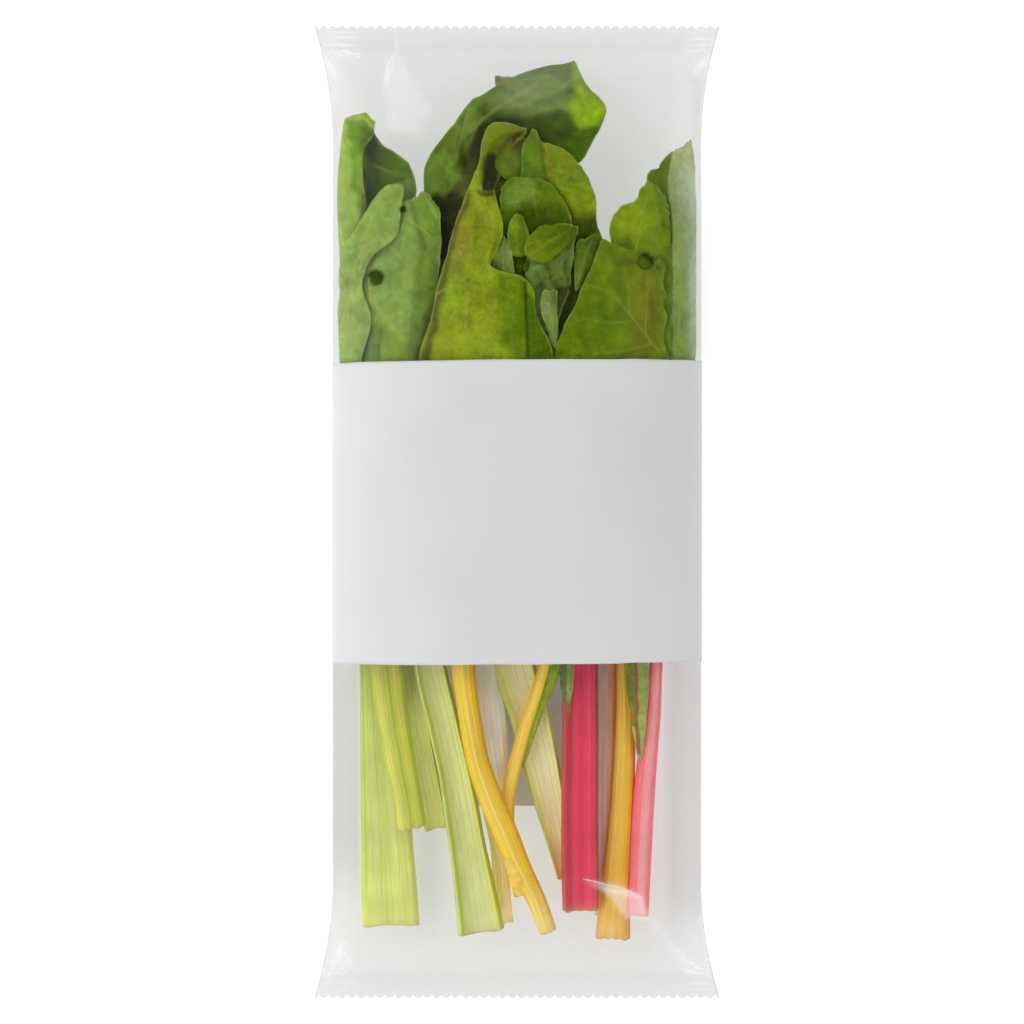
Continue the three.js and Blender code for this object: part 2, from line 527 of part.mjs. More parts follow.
  // the narrow one along the right side, its left margin turned in
  blade_11: {
    colour: 0x86a56a,
    waves: { height: 0, count: 1 },
    plan: [
      [[57.5, 24, 6], [58, 24, 5.2], [59, 24, 4.4], [60.5, 24, 4.2], [62, 24, 4.4], [63.5, 24, 4.8]],
      [[57, 60, 6.4], [60, 60, 4.8], [61.2, 60, 2], [64, 60, 1.2], [67.5, 60, 1.4], [70, 60, 3]],
      [[57, 80, 6.4], [60, 80, 4.8], [61.2, 80, 2], [64, 80, 1.2], [67.8, 80, 1.4], [70.2, 80, 3]],
      [[58.6, 98, 6.6], [60.2, 98, 4.8], [61.1, 98, 2], [64, 98, 1.2], [67.8, 98, 1.4], [70.3, 98, 3]],
      [[59.4, 112, 6.6], [60.2, 112, 4.8], [60.9, 112, 2.2], [63.8, 112, 1.2], [67.8, 112, 1.4], [70.3, 112, 3]],
      [[54, 123.5, 6.6], [58.9, 123, 5.4], [60.1, 123, 2.4], [63.5, 123, 1.2], [67.5, 123, 1.4], [70.2, 123, 3]],
      [[51.3, 131, 6.8], [57.6, 131, 5.6], [60, 131, 2.6], [63.3, 131, 1.3], [67, 131, 1.4], [70, 131, 3]],
      [[56.3, 136.6, 6.4], [58.2, 137, 5.4], [60.2, 137, 3], [63, 137, 1.6], [66.5, 137, 1.6], [69.3, 138, 3]],
      [[59.6, 139.9, 5.6], [60, 140.2, 4.6], [61, 141, 3.2], [63.6, 142.4, 2.2], [66, 144, 2], [68.2, 145.6, 2.8]],
    ],
  },
};

// ---------------------------------------------------------------- stalks

// Sections as shares of the half width and half thickness, from the left over the top.
const CHANNEL = [
  [-1, 0.2], [-0.84, 1], [-0.55, 0.5], [0, 0.28], [0.55, 0.5], [0.84, 1], [1, 0.2], [0.8, -0.55], [0.3, -1],
  [-0.3, -1], [-0.8, -0.55],
];
const RIBBED = [
  [-1, -0.2], [-0.8, 0.6], [-0.5, 0.86], [-0.25, 0.74], [0, 1], [0.25, 0.74], [0.5, 0.86], [0.8, 0.6], [1, -0.2],
  [0.55, -0.95], [-0.55, -0.95],
];
const ROUND = range(11).map((i) => {
  const angle = Math.PI - (2 * Math.PI * i) / 11;
  return [Math.cos(angle), Math.sin(angle)];
});

// A stalk's path is [x, y, z, width, thickness] from its cut end up to its blade.
function stalk({ path, shape }) {
  const line = curve(path.map(([x, y, z]) => [...place(x, y, z), z]));
  const sizes = curve(path.map(([, , , width, thickness], i) => [width, thickness, 30 * i]));
  const rows = 12;
  const rings = range(rows + 1).map((i) => {
    const t = i / rows;
    const p = line.getPoint(t);
    const size = sizes.getPoint(t);
    const along = line.getTangent(t);
    const across = new THREE.Vector3(along.y, -along.x, 0).normalize();
    const up = across.clone().cross(along);
    return [...shape].reverse().map(([s, h]) =>
      p.clone().addScaledVector(across, (s * size.x) / 2).addScaledVector(up, (h * size.y) / 2).toArray(),
    );
  });
  return geometryOf(solid(loft(rings)));
}

const STALKS = {
  // wide and pale green, at the left
  stalk_01: {
    colour: 0xc6d489,
    shape: CHANNEL,
    path: [[-49.5, -162, 7.8, 22, 6.4], [-50.5, -140, 7.8, 21, 6.4], [-51.5, -118, 7.8, 19.5, 6.4],
      [-54, -90, 7.8, 15, 6.4], [-56, -60, 8, 11, 6.4], [-58, -20, 11.6, 9, 5.6], [-60, 19, 18, 7, 4]],
  },
  // shorter and ribbed, lying over it
  stalk_02: {
    colour: 0xb3c666,
    shape: RIBBED,
    path: [[-41.2, -124, 14.8, 11, 5.6], [-43, -112, 14.8, 11, 6], [-45.6, -98, 14.8, 11.4, 6.2],
      [-48.6, -80, 14.8, 12, 6.2], [-51.2, -60, 14.8, 12.4, 6.2], [-56, -20, 18.2, 9, 5], [-60, 19, 24.3, 5, 2.6]],
  },
  stalk_03: {
    colour: 0xc3cf9a,
    shape: CHANNEL,
    path: [[-31.8, -124, 5.5, 9, 6], [-33.8, -112, 5.5, 9.4, 6], [-36.6, -98, 5.5, 9.4, 6], [-39.8, -80, 5.6, 8.4, 6],
      [-42.6, -60, 7, 6.6, 6], [-46.4, -20, 16, 5, 5], [-49, 19, 26, 4.4, 3]],
  },
  // the big channelled one
  stalk_04: {
    colour: 0xc9d78f,
    shape: CHANNEL,
    path: [[-14, -164.5, 14.5, 18.4, 7.6], [-16.2, -150, 14.5, 16.6, 7.8], [-19.6, -130, 14.5, 14.4, 7.8],
      [-24, -105, 14.5, 12.8, 7.8], [-29, -82, 14.5, 12.2, 7.6], [-34, -60, 15, 12, 7.4], [-35.5, -20, 19, 9, 6],
      [-33, 19, 24.6, 6, 3.4]],
  },
  // the yellow one that crosses in front
  stalk_05: {
    colour: 0xdcb63c,
    shape: RIBBED,
    path: [[12, -164, 16.6, 8, 5.6], [7.5, -152, 20.6, 9, 6], [1.6, -139, 22.6, 10.4, 6.4], [-4.4, -126, 23.5, 10, 6.6],
      [-10.5, -112, 24, 9.2, 6.6], [-15.6, -97, 24, 8.6, 6.6], [-19, -78, 24, 8.6, 6.6], [-21.2, -60, 24.5, 8.8, 6.6],
      [-21, -20, 29.5, 7, 4.6], [-20, 19, 34, 5, 2.4]],
  },
  stalk_06: {
    colour: 0xe0bd50,
    shape: ROUND,
    path: [[1.8, -150, 12.6, 6, 4.6], [-0.6, -138, 12.8, 5.6, 4.4], [-3.4, -126, 13, 5, 4.4],
      [-3.6, -113, 13, 5, 4.4], [-0.6, -99, 13, 4.8, 4.4], [3.8, -83, 13, 4.8, 4.4], [11, -60, 14, 4.6, 4.4],
      [17, -20, 22, 4.4, 4], [19.8, 19, 29.3, 4, 3]],
  },
  stalk_07: {
    colour: 0xdcd68c,
    shape: ROUND,
    path: [[-4.4, -161, 5.4, 5, 4.6], [-6, -148, 5.4, 6, 4.8], [-8.6, -132, 5.4, 6, 4.8], [-13, -112, 5.4, 6, 4.8],
      [-17.4, -90, 5.4, 6, 4.8], [-21, -60, 6, 6, 4.8], [-17, -20, 17, 5, 4.4], [-12.6, 19, 30.6, 4, 2.8]],
  },
  // wide and pale, at the back
  stalk_08: {
    colour: 0xd0d3a4,
    shape: CHANNEL,
    path: [[19, -143, 5.4, 7, 5.6], [16.6, -131, 5.4, 9, 6], [13, -115, 5.4, 12, 6.2], [9, -97, 5.4, 14.6, 6.4],
      [5, -80, 5.6, 15.4, 6.4], [-1, -60, 6.5, 15.6, 6.4], [-3, -20, 18, 11, 5], [0, 19, 32.4, 5, 2.4]],
  },
  // magenta
  stalk_09: {
    colour: 0xc53d5f,
    shape: CHANNEL,
    path: [[25.2, -156, 15.4, 13.4, 8], [25, -140, 15.4, 13.4, 8], [24.8, -118, 15.4, 13.4, 8],
      [24.8, -92, 15.4, 13.4, 8], [25, -60, 16, 13, 8], [29.4, -20, 23, 9, 6], [33, 19, 30.4, 5, 3]],
  },
  // orange
  stalk_10: {
    colour: 0xd3a13a,
    shape: RIBBED,
    path: [[37.4, -167, 10.6, 12, 6.4], [38.5, -150, 10.6, 11.2, 6.6], [40.2, -128, 10.6, 10.2, 6.6],
      [41.8, -102, 10.6, 8.6, 6.6], [42.4, -80, 11, 7.6, 6.4], [41.8, -60, 12, 5.8, 6], [42.6, -20, 20.5, 5.4, 5],
      [42, 19, 31, 4.6, 2.8]],
  },
  // pink
  stalk_11: {
    colour: 0xe0808c,
    shape: RIBBED,
    path: [[47.5, -158, 12, 6.8, 6], [49, -140, 12, 6.8, 6.2], [50.2, -120, 12, 6.8, 6.2], [51.5, -100, 12, 6.4, 6],
      [53.4, -80, 12, 5.6, 5.8], [54.4, -60, 12.4, 5.4, 5.6], [57.6, -20, 16.5, 5, 4.6], [60, 19, 22.4, 4.4, 3]],
  },
};

// ---------------------------------------------------------------- the whole

const group = new THREE.Group();
group.name = "swiss_chard_bunch";

function add(name, geometry, colour, surface = {}) {
  const material = new THREE.MeshStandardMaterial({ color: colour, roughness: 0.5, metalness: 0, ...surface });
  const mesh = new THREE.Mesh(geometry, material);
  mesh.name = name;
  group.add(mesh);
}

add("film_bag", filmBag(), 0xf2f4f4, { roughness: 0.12, transparent: true, opacity: 0.22, side: THREE.DoubleSide });
add("front_band", frontBand(), 0xe4e5e8, { roughness: 0.45 });
add("back_label", backLabel(), 0xe2e0dc, { roughness: 0.5 });
for (const [name, spec] of Object.entries(STALKS)) add(name, stalk(spec), spec.colour);
for (const [name, spec] of Object.entries(BLADES)) add(name, blade(spec), spec.colour, { roughness: 0.6 });

export default group;
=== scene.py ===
"""A bunch of Swiss chard in a clear flow-wrap bag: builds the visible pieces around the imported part."""

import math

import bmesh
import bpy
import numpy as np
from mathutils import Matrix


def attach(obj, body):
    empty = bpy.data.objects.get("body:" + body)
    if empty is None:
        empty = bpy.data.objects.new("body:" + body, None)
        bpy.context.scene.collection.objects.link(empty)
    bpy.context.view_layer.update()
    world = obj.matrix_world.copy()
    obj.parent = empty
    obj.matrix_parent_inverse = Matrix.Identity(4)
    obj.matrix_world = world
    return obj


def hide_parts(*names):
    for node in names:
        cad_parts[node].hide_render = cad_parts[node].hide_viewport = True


bl_info = {
    "name": "Swiss chard bunch",
    "version": (1, 0, 0),
    "blender": (4, 5, 0),
    "location": "View3D > Sidebar > Chard",
    "description": "Builds a bagged bunch of Swiss chard: film, band, stalks, leaf blades and a stage",
    "category": "Add Mesh",
}

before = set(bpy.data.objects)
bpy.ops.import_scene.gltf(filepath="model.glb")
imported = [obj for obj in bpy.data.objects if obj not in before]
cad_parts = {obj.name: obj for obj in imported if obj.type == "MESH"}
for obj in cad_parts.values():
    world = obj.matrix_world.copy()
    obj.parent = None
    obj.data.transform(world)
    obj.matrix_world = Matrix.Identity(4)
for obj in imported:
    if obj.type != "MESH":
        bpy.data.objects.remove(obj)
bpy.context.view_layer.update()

MM = 0.001  # every length below is in millimetres until a mesh is made
FOLD_GIRTH, STRING_GIRTH = 0.36, 0.17

# ---------------------------------------------------------------- the bag's form, as in the part's source

BAG_END = 190.5  # half the length over the cut ends
BAG_HALF_WIDTH = 71.9  # filled, along the middle
SEAL_FLARE = 7.6  # how much wider each side is at the cut ends
FLARE_LENGTH = 48.0
SEAL_INNER = 178.0  # where the end seals stop, along Y
SEAL_HEIGHT = 9.0
LEAF_END_HEIGHT = 39.0
STALK_END_HEIGHT = 33.0
RISE_FROM, RISE_LENGTH = -110.0, 150.0  # where the bag's top climbs from the stalks to the leaves
SIDE_HEIGHT = 15.0  # height of the widest line of the bag's sides
FILM = 0.6  # the film's room, of which the leaves stay clear
FLAT_SHARE = 0.62  # share of the half width that lies flat underneath
CROWN = (2.3, 0.6)  # powers that round the bag's top across its width
TOP_REACH = 18.0  # the tube opens upwards from a seal over about this length
BOTTOM_REACH = 7.0  # and downwards over this one
THROAT_EASE = 2.5  # how softly it starts to open
TEETH = 43
TOOTH_DEPTH = 1.2
SEAL_HALF = 0.22  # half the thickness of the end seals
CRIMP_HEIGHT = 0.07
SEAM_FROM, SEAM_TO, SEAM_RISE = -3.2, 9.2, 0.3  # the lap seam along the back
VENTS = ((-54.4, 90.2), (1.5, 94.3), (48.9, 95.8))
VENT_RADIUS = 3.0
LABEL_Y = (-116.0, 57.0)
LABEL_X = (-52.0, 44.0)
LABEL_TOP = 0.42
LABEL_ROOM = 0.85  # how far the film stands up over the back label
LABEL_RAMP = 9.0  # and the length over which it comes down again
BAND_FROM, BAND_TO, BAND_SKEW, BAND_WRAP = -58.4, 58.2, 0.008, 0.86
BAND_THICKNESS = 0.16
EYE_X = -2.0
EYE_HEIGHT = 1115.0


def smooth(t):
    """An S-shaped ramp from 0 to 1."""
    t = np.clip(t, 0.0, 1.0)
    return t * t * (3 - 2 * t)


def mix(a, b, t):
    """a where t is 0, b where t is 1, and in proportion between them."""
    return a + (b - a) * t


def half_width(y):
    """Half the bag's width at y."""
    past = np.maximum(0.0, np.abs(y) - (BAG_END - FLARE_LENGTH))
    return BAG_HALF_WIDTH + SEAL_FLARE * (past / FLARE_LENGTH) ** 2


def opening(y, reach):
    """How far the tube has opened at y: 0 in the seals and towards 1 in the middle."""
    past = np.maximum(0.0, SEAL_INNER - np.abs(y))
    return 1 - np.exp(-past * past / (past + THROAT_EASE) / reach)


def label_room(y):
    """Height of the bag's underside over the back label."""
    ramp = LABEL_RAMP - 2
    return (LABEL_ROOM * smooth((y - LABEL_Y[0] + LABEL_RAMP) / ramp)
            * smooth((LABEL_Y[1] + LABEL_RAMP - y) / ramp))


def heights(y, inset):
    """Heights of the film's top middle, side line and bottom middle at y."""
    half = FILM - inset
    full = mix(STALK_END_HEIGHT, LEAF_END_HEIGHT, smooth((y - RISE_FROM) / RISE_LENGTH))
    open_up = opening(y, TOP_REACH)
    top = mix(SEAL_HEIGHT + half, full - inset, open_up)
    side = mix(SEAL_HEIGHT, SIDE_HEIGHT, open_up)
    bottom = mix(SEAL_HEIGHT - half, label_room(y) + inset, opening(y, BOTTOM_REACH))
    return top, side, bottom


def top_of(x, y, inset=0.0):
    """Height of the bag's front at a place, or of the surface the given inset inside it."""
    top, side, _ = heights(y, inset)
    s = np.minimum(1.0, np.abs(x) / (half_width(y) - inset))
    return side + (top - side) * (1 - s ** CROWN[0]) ** CROWN[1]


def bottom_of(x, y, inset=0.0):
    """Height of the bag's underside at a place."""
    _, side, bottom = heights(y, inset)
    s = np.minimum(1.0, np.abs(x) / (half_width(y) - inset))
    past = np.maximum(0.0, s - FLAT_SHARE) / (1 - FLAT_SHARE)
    return side - (side - bottom) * np.sqrt(np.maximum(0.0, 1 - past * past))


def place(x, y, z):
    """From the plan as seen from EYE_HEIGHT above the seals to the true place."""
    share = 1 - (z - SEAL_HEIGHT) / EYE_HEIGHT
    return EYE_X + (x - EYE_X) * share, y * share


# ---------------------------------------------------------------- curves, noise and meshes


def spline(points, t):
    """A centripetal Catmull-Rom curve through points, read at the shares t."""
    points = np.asarray(points, float)
    n = len(points)
    p = (n - 1) * np.asarray(t, float)
    i = np.minimum(p.astype(int), n - 2)
    w = (p - i)[:, None]
    ends = np.vstack([2 * points[0] - points[1], points, 2 * points[-1] - points[-2]])
    a, b, c, d = (ends[i + k] for k in range(4))

    def knot(q, r):
        return np.maximum(np.linalg.norm(r - q, axis=1) ** 0.5, 1e-3)[:, None]

    k0, k1, k2 = knot(a, b), knot(b, c), knot(c, d)
    m1 = ((b - a) / k0 - (c - a) / (k0 + k1) + (c - b) / k1) * k1
    m2 = ((c - b) / k1 - (d - b) / (k1 + k2) + (d - c) / k2) * k1
    w2, w3 = w * w, w * w * w
    return (2 * w3 - 3 * w2 + 1) * b + (w3 - 2 * w2 + w) * m1 + (3 * w2 - 2 * w3) * c + (w3 - w2) * m2


def read(text):
    """Points written as "x y, x y", with as many numbers in each as are needed."""
    return [tuple(float(number) for number in point.split()) for point in text.split(",")]


def read_plan(text):
    """Rows of points (x, y, depth) parted by semicolons; in "24: -62 3.6, -61 3.3" each point has y 24."""
    grid = []
    for row in text.split(";"):
        level, colon, rest = row.rpartition(":")
        grid.append([(x, float(level), depth) for x, depth in read(rest)] if colon else read(row))
    return grid


def flat_spline(points, t):
    """The same curve through points of the plan."""
    return spline(np.c_[np.array(points, float), np.zeros(len(points))], t)[:, :2]


def ripple(x, y, size, seed):
    """Smooth noise from -1 to 1 with bumps of about the given size."""
    table = np.random.default_rng(seed).uniform(-1, 1, (64, 64))
    gx, gy = np.asarray(x) / size + 1000.0, np.asarray(y) / size + 1000.0
    i, j = np.floor(gx).astype(int), np.floor(gy).astype(int)
    u, v = smooth(gx - i), smooth(gy - j)
    a, b = table[i % 64, j % 64], table[(i + 1) % 64, j % 64]
    c, d = table[i % 64, (j + 1) % 64], table[(i + 1) % 64, (j + 1) % 64]
    return mix(mix(a, b, u), mix(c, d, u), v)


def nearest_on_line(x, y, line):
    """Shortest distance in plan from each point to a bent line, and the share of the line passed there."""
    best, share = np.full(np.shape(x), 1e9), np.zeros(np.shape(x))
    for k, ((ax, ay), (bx, by)) in enumerate(zip(line[:-1], line[1:])):
        dx, dy = bx - ax, by - ay
        t = np.clip(((x - ax) * dx + (y - ay) * dy) / (dx * dx + dy * dy + 1e-9), 0, 1)
        far = np.hypot(x - ax - t * dx, y - ay - t * dy)
        share = np.where(far < best, (k + t) / (len(line) - 1), share)
        best = np.minimum(best, far)
    return best, share


def distance_to_line(x, y, line):
    """Shortest distance in plan from each point to a bent line."""
    return nearest_on_line(x, y, line)[0]


def area_weight(x, y, corners, soft):
    """1 inside a drawn outline and 0 outside it, passing over the given softness."""
    inside = np.zeros(np.shape(x), bool)
    closed = list(corners) + [corners[0]]
    for (ax, ay), (bx, by) in zip(closed[:-1], closed[1:]):
        crosses = (ay > y) != (by > y)
        inside ^= crosses & (x < (bx - ax) * (y - ay) / (by - ay + 1e-12) + ax)
    far = distance_to_line(x, y, closed)
    return smooth(0.5 + np.where(inside, far, -far) / soft)


def linear(colour):
    """A colour given as 0 to 255 display values, as linear light."""
    c = np.asarray(colour, float) / 255
    return np.where(c <= 0.04045, c / 12.92, ((c + 0.055) / 1.055) ** 2.4)


def make_mesh(name, points, faces, material, colours=None, values=None):
    """An object from points in millimetres, with its colours and values stored on the points."""
    mesh = bpy.data.meshes.new(name)
    mesh.from_pydata((np.asarray(points) * MM).tolist(), [], [list(f) for f in faces])
    mesh.polygons.foreach_set("use_smooth", [True] * len(mesh.polygons))
    if colours is not None:
        tint = mesh.color_attributes.new("tint", "FLOAT_COLOR", "POINT")
        rgba = np.ones((len(points), 4))
        rgba[:, :3] = colours
        tint.data.foreach_set("color", rgba.ravel())
    for key, value in (values or {}).items():
        layer = mesh.attributes.new(key, "FLOAT", "POINT")
        layer.data.foreach_set("value", np.asarray(value, float).ravel())
    mesh.update()
    if mesh.validate():
        raise RuntimeError(name + " has broken faces")
    thing = bpy.data.objects.new(name, mesh)
    bpy.context.scene.collection.objects.link(thing)
    mesh.materials.append(material)
    return thing


def grid_faces(rows, columns, offset=0, wrap=False, flip=False):
    """Quads of a grid of points that is rows by columns, its columns joined round when it wraps."""
    i, j = np.meshgrid(np.arange(rows - 1), np.arange(columns if wrap else columns - 1), indexing="ij")
    a = i * columns + j
    b = i * columns + (j + 1) % columns
    quads = np.stack([a, b, b + columns, a + columns], -1).reshape(-1, 4) + offset
    return quads[:, ::-1] if flip else quads


def rim_faces(rows, columns, offset):
    """Quads that close the rim between a grid of points and its copy further on."""
    ring = np.concatenate([
        np.arange(columns - 1), np.arange(rows - 1) * columns + columns - 1,
        (rows - 1) * columns + np.arange(columns - 1, 0, -1), np.arange(rows - 1, 0, -1) * columns])
    after = np.roll(ring, -1)
    return np.stack([ring, ring + offset, after + offset, after], -1)


def slab(upper, lower, flip=False):
    """Points and faces of a closed sheet between two grids of points."""
    rows, columns = upper.shape[:2]
    n = rows * columns
    rim = rim_faces(rows, columns, n)
    faces = [grid_faces(rows, columns, flip=flip), grid_faces(rows, columns, n, flip=not flip),
             rim[:, ::-1] if flip else rim]
    return np.concatenate([upper.reshape(-1, 3), lower.reshape(-1, 3)]), np.concatenate(faces)


def grid_normals(points):
    """Unit normals of a grid of points, from its neighbours along and across."""
    along = np.gradient(points, axis=0)
    across = np.gradient(points, axis=1)
    normal = np.cross(across, along)
    return normal / (np.linalg.norm(normal, axis=2, keepdims=True) + 1e-12)


def ride(thing, slot, *nodes):
    """Rides a piece on the one body, in place of the CAD nodes named; its slot is not used."""
    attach(thing, "root")
    if nodes:
        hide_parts(*nodes)


# ---------------------------------------------------------------- materials


class Nodes:
    """Short words for building the node tree of a new material, or of the world."""

    def __init__(self, name, world=None):
        self.owner = world or bpy.data.materials.new(name)
        self.owner.use_nodes = True
        self.tree = self.owner.node_tree
        self.tree.nodes.clear()
        self.out = self.tree.nodes.new("ShaderNodeOutput" + ("World" if world else "Material"))

    def add(self, kind, inputs=None, **settings):
        node = self.tree.nodes.new("ShaderNode" + kind)
        for key, value in settings.items():
            setattr(node, key, value)
        for key, value in (inputs or {}).items():
            socket = node.inputs[key]
            if isinstance(value, bpy.types.NodeSocket):
                self.tree.links.new(value, socket)
            elif socket.type == "RGBA":
                socket.default_value = (*value, 1.0)
            else:
                socket.default_value = value
        return node

    def math(self, operation, a, b=0.0):
        return self.add("Math", {0: a, 1: b}, operation=operation).outputs[0]

    def blend(self, share, a, b, way="MIX"):
        return self.add("Mix", {0: share, 6: a, 7: b}, data_type="RGBA", blend_type=way).outputs[2]

    def grey(self, shade):
        return self.add("CombineColor", {"Red": shade, "Green": shade, "Blue": shade}).outputs[0]

    def shaded(self, colour, shade):
        """A colour multiplied by a grey shade."""
        return self.blend(1.0, colour, self.grey(shade), "MULTIPLY")

    def mixed(self, share, first, second):
        return self.add("MixShader", {0: share, 1: first.outputs[0], 2: second.outputs[0]})

    def span(self, value, low, high, to_low=0.0, to_high=1.0, **settings):
        inputs = {"Value": value, "From Min": low, "From Max": high, "To Min": to_low, "To Max": to_high}
        return self.add("MapRange", inputs, **settings).outputs[0]

    def noise(self, where, scale, detail=3.0, rough=0.55, warp=0.0):
        inputs = {"Vector": where, "Scale": scale, "Detail": detail, "Roughness": rough, "Distortion": warp}
        return self.add("TexNoise", inputs).outputs["Fac"]

    def cell_edges(self, where, scale):
        inputs = {"Vector": where, "Scale": scale}
        return self.add("TexVoronoi", inputs, feature="DISTANCE_TO_EDGE").outputs["Distance"]

    def attribute(self, name, output="Fac"):
        return self.add("Attribute", attribute_name=name).outputs[output]

    def place(self):
        return self.add("TexCoord").outputs["Object"]

    def bump(self, height, strength, distance, under=None):
        inputs = {"Height": height, "Strength": strength, "Distance": distance}
        if under is not None:
            inputs["Normal"] = under
        return self.add("Bump", inputs).outputs[0]

    def finish(self, shader):
        self.tree.links.new(shader.outputs[0], self.out.inputs["Surface"])
        return self.owner


def leaf_material():
    """Fresh leaf: the stored tint, mottled, with a net of fine veins and a satin skin."""
    n = Nodes("chard_leaf")
    where = n.place()
    drift = n.add("TexNoise", {"Vector": where, "Scale": 120.0, "Detail": 2.0}).outputs["Color"]
    drift = n.add("VectorMath", {0: drift, 1: (0.008, 0.008, 0.008)}, operation="MULTIPLY").outputs[0]
    warped = n.add("VectorMath", {0: where, 1: drift}, operation="ADD").outputs[0]
    net_line = n.span(n.cell_edges(warped, 210.0), 0.0, 0.09, 1.0, 0.0)
    fine_line = n.span(n.cell_edges(warped, 640.0), 0.0, 0.12, 1.0, 0.0)
    patches = n.noise(where, 80.0, 3.0)
    grain = n.noise(where, 700.0, 3.0)
    blisters = n.noise(warped, 330.0, 2.0)
    tint = n.attribute("tint", "Color")
    shade = n.span(patches, 0.3, 0.72, 0.99, 1.32)
    colour = n.shaded(tint, shade)
    pale = n.blend(0.5, n.blend(1.0, tint, (1.5, 1.4, 1.3), "MULTIPLY"), (0.3, 0.36, 0.04))
    lines = n.math("ADD", n.math("MULTIPLY", net_line, 0.11), n.math("MULTIPLY", fine_line, 0.07))
    colour = n.blend(lines, colour, pale)
    colour = n.blend(n.math("MULTIPLY", n.attribute("vein"), 0.72), colour, pale)
    dark = n.math("MULTIPLY", n.span(grain, 0.35, 0.6, 0.9, 1.06), n.span(blisters, 0.32, 0.68, 0.89, 1.1))
    colour = n.shaded(colour, dark)
    raised = n.math("ADD", n.math("MULTIPLY", grain, 0.35), n.math("MULTIPLY", blisters, 1.3))
    sunken = n.math("ADD", n.math("MULTIPLY", net_line, 0.25), n.math("MULTIPLY", fine_line, 0.2))
    height = n.math("SUBTRACT", raised, sunken)
    skin = n.add("BsdfPrincipled", {
        "Base Color": colour, "Roughness": n.span(grain, 0.3, 0.7, 0.45, 0.6), "Specular IOR Level": 0.2,
        "Specular Tint": (0.75, 1.0, 0.12), "Normal": n.bump(height, 0.8, 0.0005)})
    return n.finish(skin)


def stalk_material():
    """Juicy stalk: the stored tint with fibres that run along it."""
    n = Nodes("chard_stalk")
    along = n.add("UVMap", uv_map="UVMap").outputs[0]
    fibre_place = n.add("Mapping", {"Vector": along, "Scale": (64.0, 5.0, 1.0)}).outputs[0]
    fibres = n.noise(fibre_place, 1.0, 4.0, 0.6)
    broad_place = n.add("Mapping", {"Vector": along, "Scale": (11.0, 3.2, 1.0)}).outputs[0]
    broad = n.noise(broad_place, 1.0, 3.0, 0.5)
    specks = n.noise(n.place(), 520.0, 2.0)
    tint = n.attribute("tint", "Color")
    shade = n.span(fibres, 0.25, 0.75, 1.1, 1.36)
    colour = n.shaded(tint, shade)
    colour = n.blend(n.span(broad, 0.42, 0.72, 0.0, 0.45), colour,
                     n.blend(1.0, tint, (1.12, 1.16, 1.3), "MULTIPLY"))
    colour = n.blend(n.span(specks, 0.62, 0.75, 0.0, 0.18), colour,
                     n.blend(1.0, tint, (0.62, 0.55, 0.4), "MULTIPLY"))
    skin = n.add("BsdfPrincipled", {
        "Base Color": colour, "Roughness": n.span(broad, 0.3, 0.7, 0.3, 0.46), "Specular IOR Level": 0.25,
        "Normal": n.bump(n.math("ADD", fibres, n.math("MULTIPLY", specks, 0.3)), 0.35, 0.0004)})
    return n.finish(skin)


def cord_material(name):
    """The raised strings and ribs, in their stored tint."""
    n = Nodes(name)
    speck = n.noise(n.place(), 900.0, 3.0)
    shade = n.span(speck, 0.3, 0.7, 0.85, 1.12)
    colour = n.shaded(n.attribute("tint", "Color"), shade)
    skin = n.add("BsdfPrincipled", {"Base Color": colour, "Roughness": 0.42, "Specular IOR Level": 0.4,
                                    "Normal": n.bump(speck, 0.3, 0.0002)})
    return n.finish(skin)


def film_material(settings):
    """Clear film: see-through and glossy; the stored milk is partly creased or rubbed film and partly painted
    glare.
    """
    n = Nodes("clear_film")
    where = n.place()
    rub = n.noise(where, 38.0, 4.0, 0.6)
    cloud = n.span(rub, 0.35, 0.75, 0.5, 1.5)
    haze = n.math("MULTIPLY", n.math("ADD", n.attribute("haze"), settings.film_haze), cloud)
    facing = n.add("LayerWeight", {"Blend": 0.5}).outputs["Facing"]
    shine = n.math("ADD", n.math("MULTIPLY", n.math("POWER", facing, 3.0), 0.5), settings.film_shine)
    edge_tint = tuple(0.9 * c for c in settings.film_tint)
    tint = n.blend(n.math("POWER", facing, 2.0), tuple(settings.film_tint), edge_tint)
    # the stored dim is painted shade: it darkens what shows through the film
    clear = n.add("BsdfTransparent", {"Color": n.blend(n.attribute("dim"), tint, (0, 0, 0))})
    milk_and_glare = n.add("BsdfPrincipled", {"Base Color": (0.93, 0.935, 0.93), "Roughness": 0.45})
    gloss = n.add("BsdfAnisotropic", {"Color": (1.0, 1.0, 1.0), "Roughness": 0.14})
    body = n.mixed(n.math("MINIMUM", haze, 0.9), clear, milk_and_glare)
    return n.finish(n.mixed(shine, body, gloss))


def band_material(colour, roughness):
    """Opaque white film with a faint grain and slight cockle."""
    n = Nodes("white_band")
    where = n.place()
    grain = n.noise(where, 900.0, 4.0, 0.6)
    cloud = n.noise(where, 22.0, 3.0, 0.5)
    shade = n.span(cloud, 0.3, 0.7, 0.965, 1.02)
    tone = n.shaded(colour, shade)
    skin = n.add("BsdfPrincipled", {
        "Base Color": tone, "Roughness": n.span(grain, 0.3, 0.7, roughness, roughness + 0.12),
        "Specular IOR Level": 0.35,
        "Normal": n.bump(grain, 0.12, 0.0002, n.bump(cloud, 0.25, 0.0012))})
    return n.finish(skin)


# ---------------------------------------------------------------- ridges that follow lines


